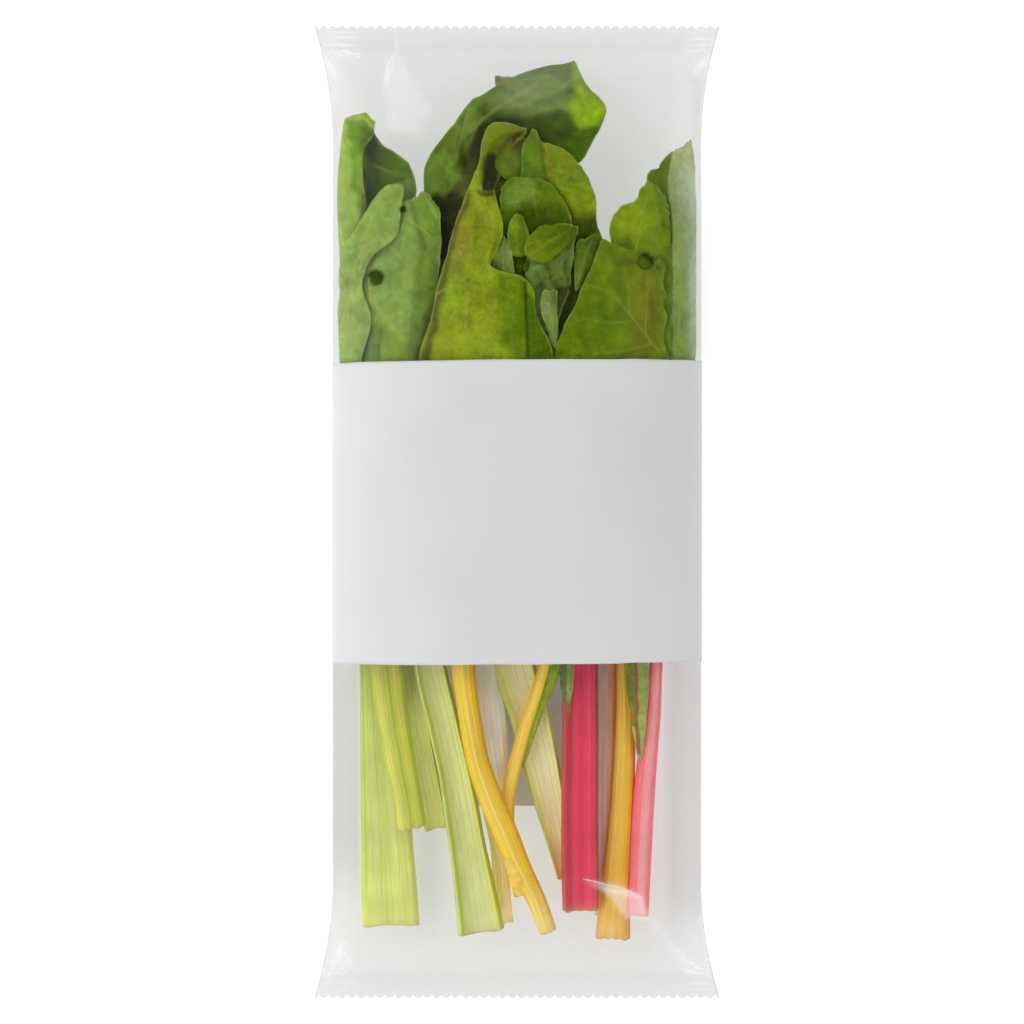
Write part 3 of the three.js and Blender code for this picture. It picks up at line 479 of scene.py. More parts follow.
def ridge_tree():
    """Geometry nodes that turn bent lines into tapering round ridges."""
    tree = bpy.data.node_groups.new("ridges_along_lines", "GeometryNodeTree")
    sockets = tree.interface.new_socket
    sockets("Geometry", in_out="INPUT", socket_type="NodeSocketGeometry")
    for name, kind, value in (("Girth", "Float", 0.0003), ("Step", "Float", 0.0012), ("Sides", "Int", 6)):
        sockets(name, in_out="INPUT", socket_type="NodeSocket" + kind).default_value = value
    sockets("Material", in_out="INPUT", socket_type="NodeSocketMaterial")
    sockets("Geometry", in_out="OUTPUT", socket_type="NodeSocketGeometry")
    add = tree.nodes.new
    link = tree.links.new
    entry, leave = add("NodeGroupInput"), add("NodeGroupOutput")
    lines, steps = add("GeometryNodeMeshToCurve"), add("GeometryNodeResampleCurve")
    girth, radius = add("GeometryNodeSetCurveRadius"), add("GeometryNodeInputRadius")
    steps.mode = "LENGTH"
    taper, scaled = add("GeometryNodeInputNamedAttribute"), add("ShaderNodeMath")
    taper.data_type = "FLOAT"
    taper.inputs["Name"].default_value = "girth"
    scaled.operation = "MULTIPLY"
    profile, sweep = add("GeometryNodeCurvePrimitiveCircle"), add("GeometryNodeCurveToMesh")
    profile.inputs["Radius"].default_value = 1.0
    sweep.inputs["Fill Caps"].default_value = True
    real, paint = add("GeometryNodeRealizeInstances"), add("GeometryNodeSetMaterial")
    even = add("GeometryNodeSetShadeSmooth")
    link(entry.outputs["Geometry"], lines.inputs[0])
    link(lines.outputs[0], steps.inputs["Curve"])
    link(entry.outputs["Step"], steps.inputs["Length"])
    link(steps.outputs[0], girth.inputs["Curve"])
    link(taper.outputs["Attribute"], scaled.inputs[0])
    link(entry.outputs["Girth"], scaled.inputs[1])
    link(scaled.outputs[0], girth.inputs["Radius"])
    link(entry.outputs["Sides"], profile.inputs["Resolution"])
    link(girth.outputs[0], sweep.inputs["Curve"])
    link(profile.outputs[0], sweep.inputs["Profile Curve"])
    link(radius.outputs[0], sweep.inputs["Scale"])
    link(sweep.outputs[0], even.inputs[0])
    link(even.outputs[0], real.inputs[0])
    link(real.outputs[0], paint.inputs[0])
    link(entry.outputs["Material"], paint.inputs["Material"])
    link(paint.outputs[0], leave.inputs[0])
    return tree


def ridges(name, lines, girth, material, sides=6, step=1.2):
    """One mesh of ridges: each line is (points in mm, girth shares, colour)."""
    points, edges, shares, colours = [], [], [], []
    for line, share, colour in lines:
        start = len(points)
        points += [tuple(p * MM) for p in line]
        edges += [(start + k, start + k + 1) for k in range(len(line) - 1)]
        shares += list(share)
        colours += [(*linear(colour), 1.0)] * len(line)
    mesh = bpy.data.meshes.new(name)
    mesh.from_pydata(points, edges, [])
    mesh.attributes.new("girth", "FLOAT", "POINT").data.foreach_set("value", np.array(shares, float))
    tint = mesh.color_attributes.new("tint", "FLOAT_COLOR", "POINT")
    tint.data.foreach_set("color", np.array(colours).ravel())
    thing = bpy.data.objects.new(name, mesh)
    bpy.context.scene.collection.objects.link(thing)
    tree = bpy.data.node_groups.get("ridges_along_lines") or ridge_tree()
    modifier = thing.modifiers.new("ridges", "NODES")
    modifier.node_group = tree
    wanted = {"Girth": girth * MM, "Sides": sides, "Step": step * MM, "Material": material}
    for item in tree.interface.items_tree:
        if item.item_type == "SOCKET" and item.in_out == "INPUT" and item.name in wanted:
            modifier[item.identifier] = wanted[item.name]
    thing.update_tag()
    graph = bpy.context.evaluated_depsgraph_get()
    graph.update()
    plain = bpy.data.meshes.new_from_object(thing.evaluated_get(graph))
    thing.modifiers.remove(modifier)
    thing.data = plain
    plain.name = name
    if not plain.polygons:
        raise RuntimeError(name + ": the ridges came out empty")
    if not plain.materials:
        plain.materials.append(material)
    return thing


# ---------------------------------------------------------------- leaf blades

ACROSS = (0, 1)  # a window that takes in the whole width, from the left margin to the right one


def blade(plan, veins, areas=(), folds=(), patches="", wave=(0.1, 2), crinkle=0.5, lobes=0.5, rim=0.42,
          **own):
    """One blade or small leaf piece.

    The plan's rows run from foot to tip and each from left to right, with the depth under the film.
    Veins are (line, width, window), areas (outline, softness, colour, share, window), folds (line, width,
    how far they sink, how much shade is painted along them, a highlight where that is negative) and patches
    "x y width height red green blue share"; the dark areas and patches in gaps, hollows and under folds are
    painted shade. A window is the stretch across the blade that a vein or an area keeps to.
    """
    return {
        "plan": np.array(read_plan(plan)), "wave": wave, "crinkle": crinkle, "lobes": lobes, "rim": rim,
        "patches": read(patches) if patches else [],
        "folds": [(read(line), *rest) for line, *rest in folds],
        "veins": [(read(line), width, *(window or [ACROSS])) for line, width, *window in veins],
        "areas": [(read(corners), soft, colour, share, *(window or [ACROSS]))
                  for corners, soft, colour, share, *window in areas], **own}


# In the tables below, the dark areas and patches that fall in gaps, hollows, rolled insides and under folds
# are painted shade; the rest are the leaves' own colours.
BLADES = {}
BLADES["blade_01"] = blade(
    tint=(144, 170, 63), wave=(0, 1),
    patches="-66 118 5 16 138 164 70 0.6, -66 140 3 12 124 158 50 0.5",
    areas=[("-66 153, -60 154, -57 150, -58 146, -60.5 138, -61.5 124, -64 126, -65.5 140", 3, (80, 132, 4),
            0.8, (0, 0.3)),
           # painted shade: the dark inside of the rolled leaf
           ("-61 150, -40 150, -38 100, -60 100, -61.5 120, -60 140", 4.5, (60, 88, 2), 0.95),
           ("-39 133, -42 131, -50 127.6, -56 121, -54 110, -38 112", 1.2, (100, 132, 42), 0.9, (0.5, 1)),
           ("-55 136, -48 134, -43 131.6, -50 130, -55 130", 2.5, (84, 106, 36), 0.7, (0.5, 1))],
    folds=[("-59 148, -55.5 144, -50 140, -43 135", 1, -0.4, -0.25),
           ("-52 137, -47 134, -43 132", 0.9, -0.5, -0.15), ("-58 141, -55 135, -54 128", 1.6, 0.6, 0.25)],
    veins=[("-56 136, -50 133, -43 131.5", 0.6, (0.5, 1)), ("-66 108, -65.5 125, -66 146", 0.6, (0, 0.3))],
    plan="""24: -64 8.4, -63 8.6, -62 8.8, -61 9, -60 9, -58 9, -56 8.8;
        55: -65.5 7, -67 7.2, -67.6 8, -65.4 9.8, -59 10.8, -50 10.8, -43 10.4;
        80: -63.5 7.4, -66.5 6.6, -68.2 7, -66 9.8, -59.5 11, -49 11, -40.5 10.8;
        103: -62.5 7, -66.5 5, -69.2 5.6, -67.2 9, -60 10.8, -49.5 10.8, -40 10.6;
        118: -59.5 4.8, -64.5 3, -69.9 4.2, -67.5 8, -60 10, -50 10.2, -39.8 10;
        -60.3 130 2.8, -64.5 130 1.6, -69.8 130 3.6, -67.5 130 7.2, -60 130 9, -50 130 9.4, -40.3 130.6 9;
        -60.3 141 2.2, -64.5 141 1.4, -68.9 141 3.2, -66.5 141 6.4, -60 141 8.2, -50.6 141.3 8.2,
        -43.2 137.2 7.6;
        -57 146.6 2.2, -62 148 1.4, -68.1 148 3.2, -66 149 6, -60 148.6 7.4, -54.8 144.4 7.2, -50 141.4 7;
        -55.3 152.6 2.4, -60 156.4 1.8, -67.2 154.6 3.2, -64 155 5.4, -59 154 6, -56.6 150 6.2,
        -55.3 145.6 6.6""")
BLADES["blade_02"] = blade(
    tint=(139, 167, 74), wave=(0.45, 4.5),
    patches="-66 72 5 26 146 170 74 0.6, -53 120 6 8 132 162 66 0.6",
    areas=[("-69 104, -65 108, -60 116, -56 122, -51 126, -46 128, -45 122, -52 118, -60 104, -66 92", 3,
            (132, 164, 62), 0.5)],
    folds=[("-57 125, -54 117, -52 108, -55 100", 1.6, 0.5, 0.12),
           ("-69 96, -64 100, -61 106", 1.4, 0.6, 0.15)],
    veins=[("-55.5 108.4, -53 107.2, -51.6 104.5", 0.6), ("-67 62, -66 82, -63 98, -57 110", 0.8),
           ("-64 97, -57 106, -50 110", 0.6), ("-62 104, -57 114, -53 124", 0.6),
           ("-66.5 70, -63 78, -60 84", 0.5)],
    plan="""24: -62 3.6, -61 3.3, -60 3.2, -59 3.3, -58 3.6;
        -68 44 2.6, -66.5 45 1.4, -64.5 45 1.2, -62.5 45 1.4, -60.5 44 2;
        -69.5 58 2.4, -67.5 59 1.2, -65.5 59 1, -63 59 1.2, -61 59 2;
        -70 74 2.2, -67.5 75 1.2, -64.5 75 1, -61 75 1.2, -57.3 75.5 2.2;
        -70 87 2.2, -68 88 1.2, -65.5 89 1, -63 89 1.2, -60.7 89 2.2;
        -69.8 95 2.2, -66.5 98 1.2, -62.5 99 1, -60 99 1.2, -57 99.5 2;
        -69.2 100 2.2, -64.5 105 1.2, -58 109 1, -52.5 108 1, -47.5 108 1.8;
        -68.5 103.5 2.2, -62.5 111 1.4, -55 117.5 1.2, -49.5 117 1.2, -45.6 116.5 1.8;
        -67 105.5 2.4, -60.5 115.5 2, -54.5 125 2, -49.5 128.5 2, -44.7 128 2.4""")
BLADES["blade_03"] = blade(
    tint=(120, 150, 66), wave=(0.3, 3.5), crinkle=0.6,
    patches="-35 82 5 26 106 127 28 0.85, -50 66 8 10 130 154 60 0.7, -40 113 7 5 138 166 62 0.7, "
            "-34 120 5 5 92 126 24 0.7",
    areas=[("-43.6 119, -36.4 124.6, -34.6 122, -31 114, -33 108, -38 108, -43 113", 2, (114, 146, 44),
            0.75),
           ("-60 86, -57 84, -52 77, -46 71, -41.5 60, -40 54, -56 54, -60 72", 1.6, (130, 154, 52), 0.8),
           ("-61.2 71, -56 73, -54 64, -55 56, -62 56", 1.4, (96, 124, 46), 0.8),
           ("-36.5 124.5, -34.6 122, -30.2 115, -31.8 114.5, -35.6 120", 0.8, (150, 172, 88), 0.6)],
    folds=[("-41 121, -38.5 112, -36 104", 1.3, 0.8, 0.25),
           ("-57.4 84, -54 79, -50 74.5, -45 68", 1, -0.6, -0.2), ("-53 72, -54 64, -54 56", 1, 0.7, 0.3),
           ("-50 100, -49 88, -50 76", 2.2, 0.5, 0.1), ("-37 100, -38 84, -41 66", 2, 0.6, 0.1)],
    veins=[("-58 92, -57 84, -50.5 76, -45 69, -40.5 61", 1.1), ("-43 115, -36 110, -30.5 103.5", 1),
           ("-44.5 92, -45.5 78, -46 64", 0.7), ("-51 106, -44 98, -36 90", 0.6),
           ("-48 88, -41 82, -36 74", 0.5)],
    plan="""24: -51 6, -50 5.6, -49 5.4, -48 5.6, -47 6; 45: -61 5.6, -56 4.4, -50 3.8, -44 4.2, -39 7.4;
        60: -64 5.4, -58 4.2, -51 3.6, -43 3.9, -37.5 7.6;
        75: -64.5 5.4, -58 4.3, -49.5 3.5, -40.5 3.9, -34 7.6;
        90: -63 5.2, -56 4.2, -47 3.4, -38 3.9, -31 7.2; 102: -59 5, -51 4, -43 3.4, -36 3.8, -30 6.2;
        -51 114 4.8, -45.5 113 4.1, -39.5 112 3.5, -34 112 4, -29.8 111.5 5.4;
        -46 120 4.6, -42 119.5 4.2, -37 119.5 3.9, -33 119 4.2, -30.3 118.3 4.8;
        -44.5 121.3 4.6, -40.8 122.8 4.4, -36.4 125.3 4.4, -34.2 124 4.6, -32 121 5""")
BLADES["blade_04"] = blade(
    tint=(86, 110, 16), wave=(0.3, 5), crinkle=1, lobes=0.8,
    patches="-8 160 7 4 104 124 40 0.5",
    areas=[("22.2 173, 23 176.4, 26.4 168, 33.4 161, 35 157.4, 33 153, 27.3 150, 21.5 150.6, 18 154, "
            "19 158.5, 23.6 162.5, 22.6 167", 7.5, (146, 178, 1), 0.95),
           ("2 170.5, 12 173.5, 20 167, 18 158, 8 155, -2 158, -8 163", 4, (112, 136, 60), 0.8),
           # painted shade: the dark green along the fold of the leaf's end
           ("8.6 153, 18 156, 26.4 150.5, 21.7 147, 16 143, 8 143, 2 146, 2 150", 4.5, (50, 78, 2), 0.95),
           ("16.5 145, 26.4 149.8, 32.4 152, 25.7 134, 20 138", 0.9, (66, 100, 1), 0.95),
           ("-26 155, -18 160, -12 157, -15 145, -20 137, -24 141", 2.5, (108, 138, 46), 0.8),
           ("-36 138, -29 142, -22 134, -22 128, -29 125, -36 125", 1.8, (102, 138, 42), 0.85),
           ("-19 148, -13.5 152, -14 140, -17 132.5, -22 122, -29.6 112, -31 121, -23 130, -20 139", 1.8,
            # painted shadow: the near-black area in the gap by blade_05's left margin
            (80, 78, 46), 0.9), ("-34 123, -25 126, -19 124, -20 100, -34 100", 2, (30, 32, 18), 0.96),
           ("-13.5 152.5, -4 154.6, 2 152, 4 146, -2 140, -10 140", 1.6, (60, 72, 26), 0.85)],
    folds=[("-14 157, -4 152, 6 153, 16 156", 1.6, 1.2, 0.35), ("-20 156, -22 146, -20 136", 1.2, 1, 0.3),
           ("-2 164, 6 160, 14 161, 22 165", 1.4, 0.9, 0.2), ("-12 160, -14 150, -13 142", 1.3, 1, 0.35),
           ("10 152, 18 147, 24 146", 1.2, 0.8, 0.3)],
    veins=[("-31 139, -27 134, -22 131", 1, (0, 0.6)), ("-19 158, -21.5 148, -24 137", 1.2, (0, 0.7)),
           ("-13 155, -17 148, -19 143", 1.1, (0, 0.8)), ("-18 149, -8 158, 3 165, 12 171", 1.2, (0, 0.8)),
           ("-7 158, 4 160, 14 164, 22 170", 0.8, (0, 0.8)),
           ("2 155, 12 158, 22 160, 31 160", 0.7, (0, 0.8))],
    plan="""24: -36 11.4, -35 11.2, -34 11, -33 11, -32 11.2, -31 11.4, -30 11.6;
        60: -36.5 12, -30 11.8, -20 11.6, -8 11.6, 2 12, 8 12.4, 12 12.8;
        -37 100 10.5, -26 100 10.4, -13 100 10.6, 0 100 11.2, 9 100 12.4, 14 98 13, 16 96 13.2;
        -36.5 124.5 8, -28 124 9.4, -17 124 10, -4 124 11, 8 122 12, 13 118 12.8, 15 112 13;
        -35.3 138 5, -27 136 6.2, -17 138 9.6, -4 136 11.4, 10 132 12, 15 126 12.4, 17 120 12.6;
        -27 149.5 3.2, -22 146 4, -14.5 146 8.6, 0 148 9.6, 13 142 10.6, 18 136 11, 19 129 11.4;
        -19 160 2.4, -14 156 2.4, -4 157 3.2, 8 152 6.4, 17 146 7.4, 21 140 9.4, 21 133 10.2;
        -8 167 2, -2 162 1.8, 8 160 2.2, 18 155 3.6, 27 150.8 5, 27.5 146 8, 25.5 138 8.8;
        8 174 1.8, 12 168 1.6, 18 163 1.8, 25 158.5 2.6, 33 154 3.6, 32 150 6.6, 30 146 7.4;
        22.5 177.6 1.1, 25 172.2 1.4, 28 166.5 1.8, 32 163 2.2, 35 158 3, 34.8 156 4.6, 33.5 153.5 5.6""")
BLADES["blade_05"] = blade(
    tint=(136, 154, 28), wave=(0.3, 5), crinkle=0.6, lobes=0.8,
    patches="5 87 4 5 108 138 20 0.6, -12 114 4 6 148 158 48 0.5, -22 80 6 14 146 158 34 0.4",
    # partly the margin's reddish tinge, partly painted shade along the left margin
    areas=[("-38.5 58, -33.6 78, -30.8 92, -28 101.8, -24.2 115.8, -19.4 126, -17.6 124, -22 113, "
            "-25.6 101, -28 90, -30.4 78, -34 58", 3.2, (76, 66, 32), 0.85),
           ("-24 108, -21 114, -18 112, -20 98, -24 90, -27 94", 3, (134, 126, 44), 0.6),
           ("3.4 88, 8 83, 8.4 76.6, 12 72.6, 16 63, 15 52, 4.4 52, 3.4 75", 0.8, (76, 108, 1), 0.95),
           ("-9 94.6, 2 92.6, 4 90, 3.6 56, -3 56, -5 80, -8 88", 5, (90, 120, 2), 0.75),
           ("-14.9 128, -15 138, -14 148, -10 153, -3 153, 5 151, 1 149.2, -3.7 146.6, -6.6 143, "
            "-8.6 139.6, -11 136, -12.8 132, -12.4 128", 1.2, (104, 120, 1), 0.9),
           ("1 149.2, -3.7 146.6, -6.6 143, -8.6 139.6, -11 136, -12.8 132, -9 126, 6 126, 6 149.6", 1,
            (96, 108, 16), 0.9),
           ("4.2 150.6, 1.2 149.8, -3.2 147.4, -6.2 143.9, -8.4 140.4, -7.4 139.6, -5 142.6, -2 145, "
            "0.6 146.2, 3.4 148.4", 1.6, (96, 74, 30), 0.75),
           ("3.8 150.4, 0 148.6, -2.4 146.4, -0.8 144.4, 1.6 146.4", 1, (70, 42, 16), 0.8),
           # painted shade: the dark inside of the hood
           ("-13.6 133, -13.2 126, -6.6 125.8, -6.2 129.6, -8.2 134.6, -9 139, -11.4 141, -13.2 139", 2,
            (48, 38, 32), 0.95),
           ("-15.8 126.6, -12.4 125.2, -8.2 125.6, -6.6 127, -7.4 124.4, -12.2 123.6, -15 125", 0.9,
            (92, 66, 30), 0.9)],
    folds=[("3.2 90, 3.6 80, 4.2 66, 4.4 50", 0.7, 0.9, 0.5),
           ("-17 122, -15 114, -16 104", 1.8, 0.5, 0.12), ("-30 70, -24 74, -18 73", 2, 0.5, 0.1),
           ("-24 98, -20 92, -16 82", 2.2, 0.6, 0.12), ("-4 90, -6 80, -4 66", 2, 0.6, 0.12),
           ("-10 104, -11.5 98, -10 93", 1, -0.5, -0.2)],
    veins=[("-14.5 58, -13 68, -11 76, -8.5 83", 1), ("-32 85, -27 88, -22 91", 0.9),
           ("-19 62, -20 78, -20 94, -17 110", 0.8), ("-20 88, -14 95, -11 103", 0.6),
           ("-20 72, -26 78, -31 82", 0.6), ("-19.6 98, -23 103, -25.5 108", 0.6)],
    plan="""24: -22.5 5, -21.5 4.5, -20.5 4.2, -19.5 4.2, -18.5 4.4, -17.5 5;
        -34 42 5, -28 45 2, -20 45 1.4, -10 45 1.3, -1 43 1.6, 8 42 3;
        -38.5 60 4.6, -31 62 1.8, -21 65 1.1, -8 65 1.1, 3.5 61 1.4, 14.3 61 3.5;
        -34 75 4.4, -28 78 1.6, -19.5 80 1.1, -8 79 1.1, 2 76.5 1.4, 7.6 77.4 2.6;
        -31.2 89 4.2, -25.8 90.5 1.6, -18 91 1.1, -9 90 1.1, 0.4 88.2 1.4, 6.4 87.6 2.6;
        -29.4 95.6 4.2, -24.2 96.6 1.6, -18 96 1.1, -12.6 94.8 1.1, -5.6 93.2 1.4, 1.6 92.6 2.6;
        -27.4 102.6 4, -22 103 1.6, -17.4 102 1.2, -13.6 99.8 1.2, -11.2 98 1.6, -9.8 95.6 2.6;
        -25.4 110 3.8, -20.4 110 1.6, -16.2 109 1.3, -12.6 107 1.2, -9.6 105 1.5, -6.9 104.6 2.5;
        -23 118 3.7, -18.5 117 1.7, -15 115.5 1.4, -11.5 113 1.3, -8 111 1.5, -5 111.5 2.4;
        -18 130.5 3.4, -15.5 126 1.9, -13.5 123 1.8, -11 121 1.8, -9.2 120 2, -7 120 2.8;
        -14.7 138.5 3, -12.5 136 1.8, -11.4 129.5 6.4, -10 128 7.6, -9.2 127.5 7.6, -8.4 128 7.4;
        -13.8 147 2.2, -10.5 144 1.4, -9.2 138 6.6, -7 136 7.8, -5.5 135 8, -4.6 135 8;
        -9 152.5 1.7, -6 148.5 1.4, -4.5 145 6, -3.5 142.5 7.4, -3 141 8, -2.4 140.5 8;
        4 150.2 2.6, 3.6 149 3, 2.5 147.6 4.4, 1.5 146.6 5.6, 0.6 146 6.6, -0.2 145.5 7""")
BLADES["blade_06"] = blade(
    tint=(124, 144, 20), wave=(0.3, 4), crinkle=0.8,
    # painted shade: the first patch and the last area are the blade's lower body seen in shade
    patches="19 82 12 18 72 84 30 0.95, 28 98 6 9 88 112 28 0.8, 28 124 4 7 116 142 10 0.6",
    areas=[("1 142, 6.5 150, 9.4 144, 10.8 130, 2 130", 1.2, (92, 122, 26), 0.85),
           ("10.2 144.6, 12 143.2, 13.4 138, 16.6 131.2, 15.4 130.2, 12.6 136, 10.4 141", 1.6,
            (138, 110, 46), 0.7), ("22 116, 32 117, 34 106, 22 104", 6, (52, 66, 1), 0.95)],
    folds=[("9.4 146, 10.4 138, 11.6 130", 0.8, 0.7, 0.35), ("12 128, 17 124, 20 116", 1.8, 0.6, 0.15),
           ("20 134, 24 126, 26 118", 2, 0.5, 0.12), ("2 138, 5 134, 9 132", 1.2, 0.5, 0.2)],
    veins=[("11 143.5, 13 137, 16 129, 19 119", 0.5), ("14 134, 19 133, 24 131", 0.6),
           ("16.5 127, 22 125, 28 122", 0.6), ("24 106, 25.5 98, 25 88", 0.8)],
    plan="""24: 17.5 9.2, 18.4 9, 19.3 8.8, 20.2 8.8, 21.1 9, 22 9.2;
        60: 8 10.4, 12 10.2, 16 10, 20 9.8, 25 9.8, 30 10.2;
        3 88 10, 8.5 88 9.8, 14 88 9.6, 20 88 9.2, 26 88 9, 32 89 9.6;
        1 105 9.6, 7 105 9, 13 105 8.8, 20 105 8.4, 27 105.4 7.9, 33.6 106.6 8.4;
        0 116 9, 6 116 8.2, 13 116 7.6, 20 116 7, 26.5 115 5.8, 31.5 114 6.4;
        0 126 8.4, 6 126 7.6, 12 126 7, 19 126 5.6, 25 125 4.8, 30.4 124 5.6;
        1.8 136 7.6, 6 137 6.6, 11 136.5 5.8, 17 135 4.8, 22.5 133 4.6, 27.8 131.5 5.6;
        2 143 7.4, 6 144 6.4, 10 142.5 6, 16 140.5 5, 21 137 5, 26 134 5.8;
        3.8 147 7.2, 6.8 150.3 6.8, 9.5 145.5 6.4, 14 143.8 5.6, 19.5 141.5 5.6, 25 135.8 6""")
BLADES["blade_07"] = blade(
    tint=(102, 128, 18), wave=(0.25, 4), crinkle=0.7,
    areas=[("-4.6 128, 1 130.6, 7 130.4, 9 122, 3 118, -5 119", 3, (122, 146, 54), 0.75),
           # painted shade: the dark lower body of the dome
           ("-2 119, 8 121, 19 119, 22 113, 16 108, -4 108", 7, (58, 78, 1), 0.9),
           ("-12 108, 22 108, 22 80, -12 80", 2, (70, 88, 14), 0.9)],
    folds=[("-2 129, 2 124, 3 117", 1.8, 0.5, 0.12), ("9 130, 12 124, 17 120", 1.6, 0.5, 0.15)],
    veins=[("4 131, 6.5 124, 8 116", 0.45), ("6 126, 11 123, 15 121", 0.3), ("6 124, 1 122, -4 121", 0.5)],
    plan="""24: -14.5 7.8, -13.6 7.5, -12.7 7.4, -11.8 7.5, -11 7.8; 60: -8 7.6, -2 7, 3 6.8, 8 7, 13 7.6;
        88: -10 7.4, -4 6.8, 2 6.6, 8 7, 13 7.6; 104: -9 6.8, -2 5.9, 6 5.6, 14 6.2, 19 6.8;
        -7 115 6, 0 115 5, 8 114 4.7, 15 113 5, 21.5 112 5;
        -6.8 123 5.6, 0 124 3.8, 8 123 3.2, 15 121 3.6, 20.5 118 4.4;
        -5.8 127.5 5.6, -2.5 131 4.6, 4 131.4 4.2, 9.5 130.3 4.3, 14.2 128 4.6""")
BLADES["blade_08"] = blade(
    tint=(96, 120, 6), wave=(0.25, 4), crinkle=0.7,
    areas=[("0 100, 26 108, 24 60, 0 60", 1, (90, 110, 48), 0.95),
           # painted shade: the dark strip is the gap beside the blade, seen in shadow
           ("15.6 88, 24 89, 24 60, 16 60", 0.8, (56, 62, 26), 0.95),
           ("3 96, 9 97, 11 92, 6 88", 1.6, (112, 136, 66), 0.7)],
    folds=[("12 97, 13 92, 17 87", 1, 0.9, 0.3), ("20 104, 19 96, 21 88", 0.9, 0.8, 0.3),
           ("8 94, 10 90, 9 86", 1, 0.6, 0.25)],
    veins=[("13 66, 13 80, 12 94", 0.8), ("17 92, 18 98, 20 102", 0.5), ("12 90, 17 93, 20 92", 0.5)],
    plan="""24: -2 5.8, -1 5.6, 0 5.5, 1 5.6, 2 5.8; 62: 9 5.6, 11.3 5.4, 13.3 5.2, 15 5.4, 16.5 6;
        75: 6 5.6, 9.5 5.2, 12.5 4.9, 14.5 5, 16.3 5.7;
        4 86 5, 8 86 4.6, 12.5 86.5 4.3, 16.5 86.5 4.5, 20 85.5 5.2;
        3 93 4.6, 7.5 93.5 4.2, 12.5 94 3.8, 17.5 94 4, 21.5 93 5;
        2.5 97 5, 8 97.4 4.4, 13 98.6 3.8, 18.5 102.5 3.8, 22.6 105.5 4.4;
        4.5 101 5.4, 9 102.6 5, 14 104.6 4.6, 19 107 4.4, 23.4 108.6 4.6""")
BLADES["blade_09"] = blade(
    tint=(120, 142, 8), wave=(0.4, 6), crinkle=0.7, lobes=0.35,
    patches="52 124 6 5 122 148 26 0.6",
    areas=[("36 112, 42 108, 50 104, 60 104, 60 90, 30 90", 3, (106, 126, 4), 0.8),
           ("42 118, 48 120, 52 112, 46 106, 39 110", 4, (150, 168, 4), 0.6)],
    folds=[("54 128, 57 120, 58 110", 1.4, 0.6, 0.2), ("43 119, 45 112, 44 106", 1.8, 0.6, 0.12),
           ("50 126, 51 116, 53 108", 2, 0.5, 0.1)],
    veins=[("46 100, 48 110, 51 123", 1), ("47 105, 42 110, 39 114", 0.6), ("48 110, 53 113, 57 116", 0.6),
           ("52 109, 55 105, 58 101", 0.6)],
    plan="""24: 31.5 6.6, 32.3 6.4, 33.1 6.3, 34 6.4, 34.8 6.6; 60: 27 7, 33 6.4, 40 6.2, 47 6.4, 53 7;
        90: 30.5 6.8, 37 6.2, 44 5.9, 50 6, 56 6.8;
        36.6 104 6, 41.5 104 4.6, 47 104 4.1, 53.4 104 4.2, 60 103 4.6;
        36.2 111 4.6, 41.5 111.6 2.8, 48 112 2, 54.4 111 2.2, 60.2 109.5 3.4;
        37.6 115.6 4, 42.4 116.6 2.6, 48.2 117 1.9, 54.2 115.4 2.1, 60 113 3.4;
        40 119.2 3.8, 44.2 119.6 2.6, 49 120.4 2, 54.6 118.6 2.2, 59.9 116 3.4;
        42.4 120.6 4, 46.2 121.6 2.8, 50 122.8 2.2, 54.8 120.8 2.4, 59.8 117.6 3.4;
        44.4 120.3 4.2, 47.6 122.8 2.8, 50.8 125 2.4, 55 122.9 2.6, 59.5 119.4 3.4;
        47.4 123.8 4, 49.4 125.6 3.2, 51.8 127.4 2.8, 55 125 2.8, 59 121.2 3.4;
        48.2 126.4 4, 49.8 128 3.2, 51.7 129.6 3, 54.8 127.6 3, 58.6 122.6 3.4""")
BLADES["blade_10"] = blade(
    tint=(106, 130, 8), wave=(0.35, 6), crinkle=0.7, lobes=0.8,
    patches="45 97 6 4 110 108 24 0.5, 28 68 7 9 98 124 16 0.5",
    areas=[("44 88, 51 93, 56 86, 57.5 68, 52 58, 44 60, 45 74", 9, (112, 110, 22), 0.6),
           ("30 86, 38 92, 46 84, 40 72, 32 72", 5, (98, 124, 6), 0.6)],
    folds=[("38 92, 42 84, 42 74", 1.8, 0.5, 0.12), ("32 80, 36 74, 36 64", 2, 0.6, 0.14),
           ("50 90, 53 80, 54 68", 1.6, 0.5, 0.15), ("24 70, 28 66, 30 58", 1.4, 0.5, 0.14),
           ("38 101, 44 98.5, 50 96", 1.2, 0.5, 0.15)],
    veins=[("57 61, 50 70, 43 79, 36 88", 1.1), ("44 77, 44 86, 42 96", 0.7), ("50 69, 51 80, 51 92", 0.7),
           ("38 85, 32 88, 27 89", 0.5), ("46 75, 36 74, 26 76", 0.6), ("53 66, 42 63, 30 62", 0.6)],
    plan="""24: 40 4.2, 41 4, 42 3.9, 43 4, 44 4.2; 45: 20 4, 29 2.2, 39 1.4, 49 2, 57.5 3.2;
        14.6 60 4, 25 60 2, 37 60 1.2, 49 60 1.6, 59.4 60.6 3;
        67: 16.2 3.8, 26.6 1.9, 37.6 1.1, 49 1.5, 57.6 2.8;
        18.4 74 3.8, 28 74 1.9, 38.4 74 1.1, 49.4 74 1.5, 59.2 76 2.8;
        22.2 80 3.8, 31 80 1.9, 40 80 1.1, 50 80.6 1.5, 57.4 81.6 2.8;
        26.2 90 4, 34 90 2.1, 42 90 1.3, 50.5 88.6 1.7, 59 85 2.8;
        30.3 99 4.2, 37 99 2.7, 44 98 1.9, 51 94.5 2.1, 57.2 89 3;
        33 106.8 4.4, 38 105.4 3.4, 44.5 102.4 2.8, 50.5 99 2.7, 58 94.4 3.2""")
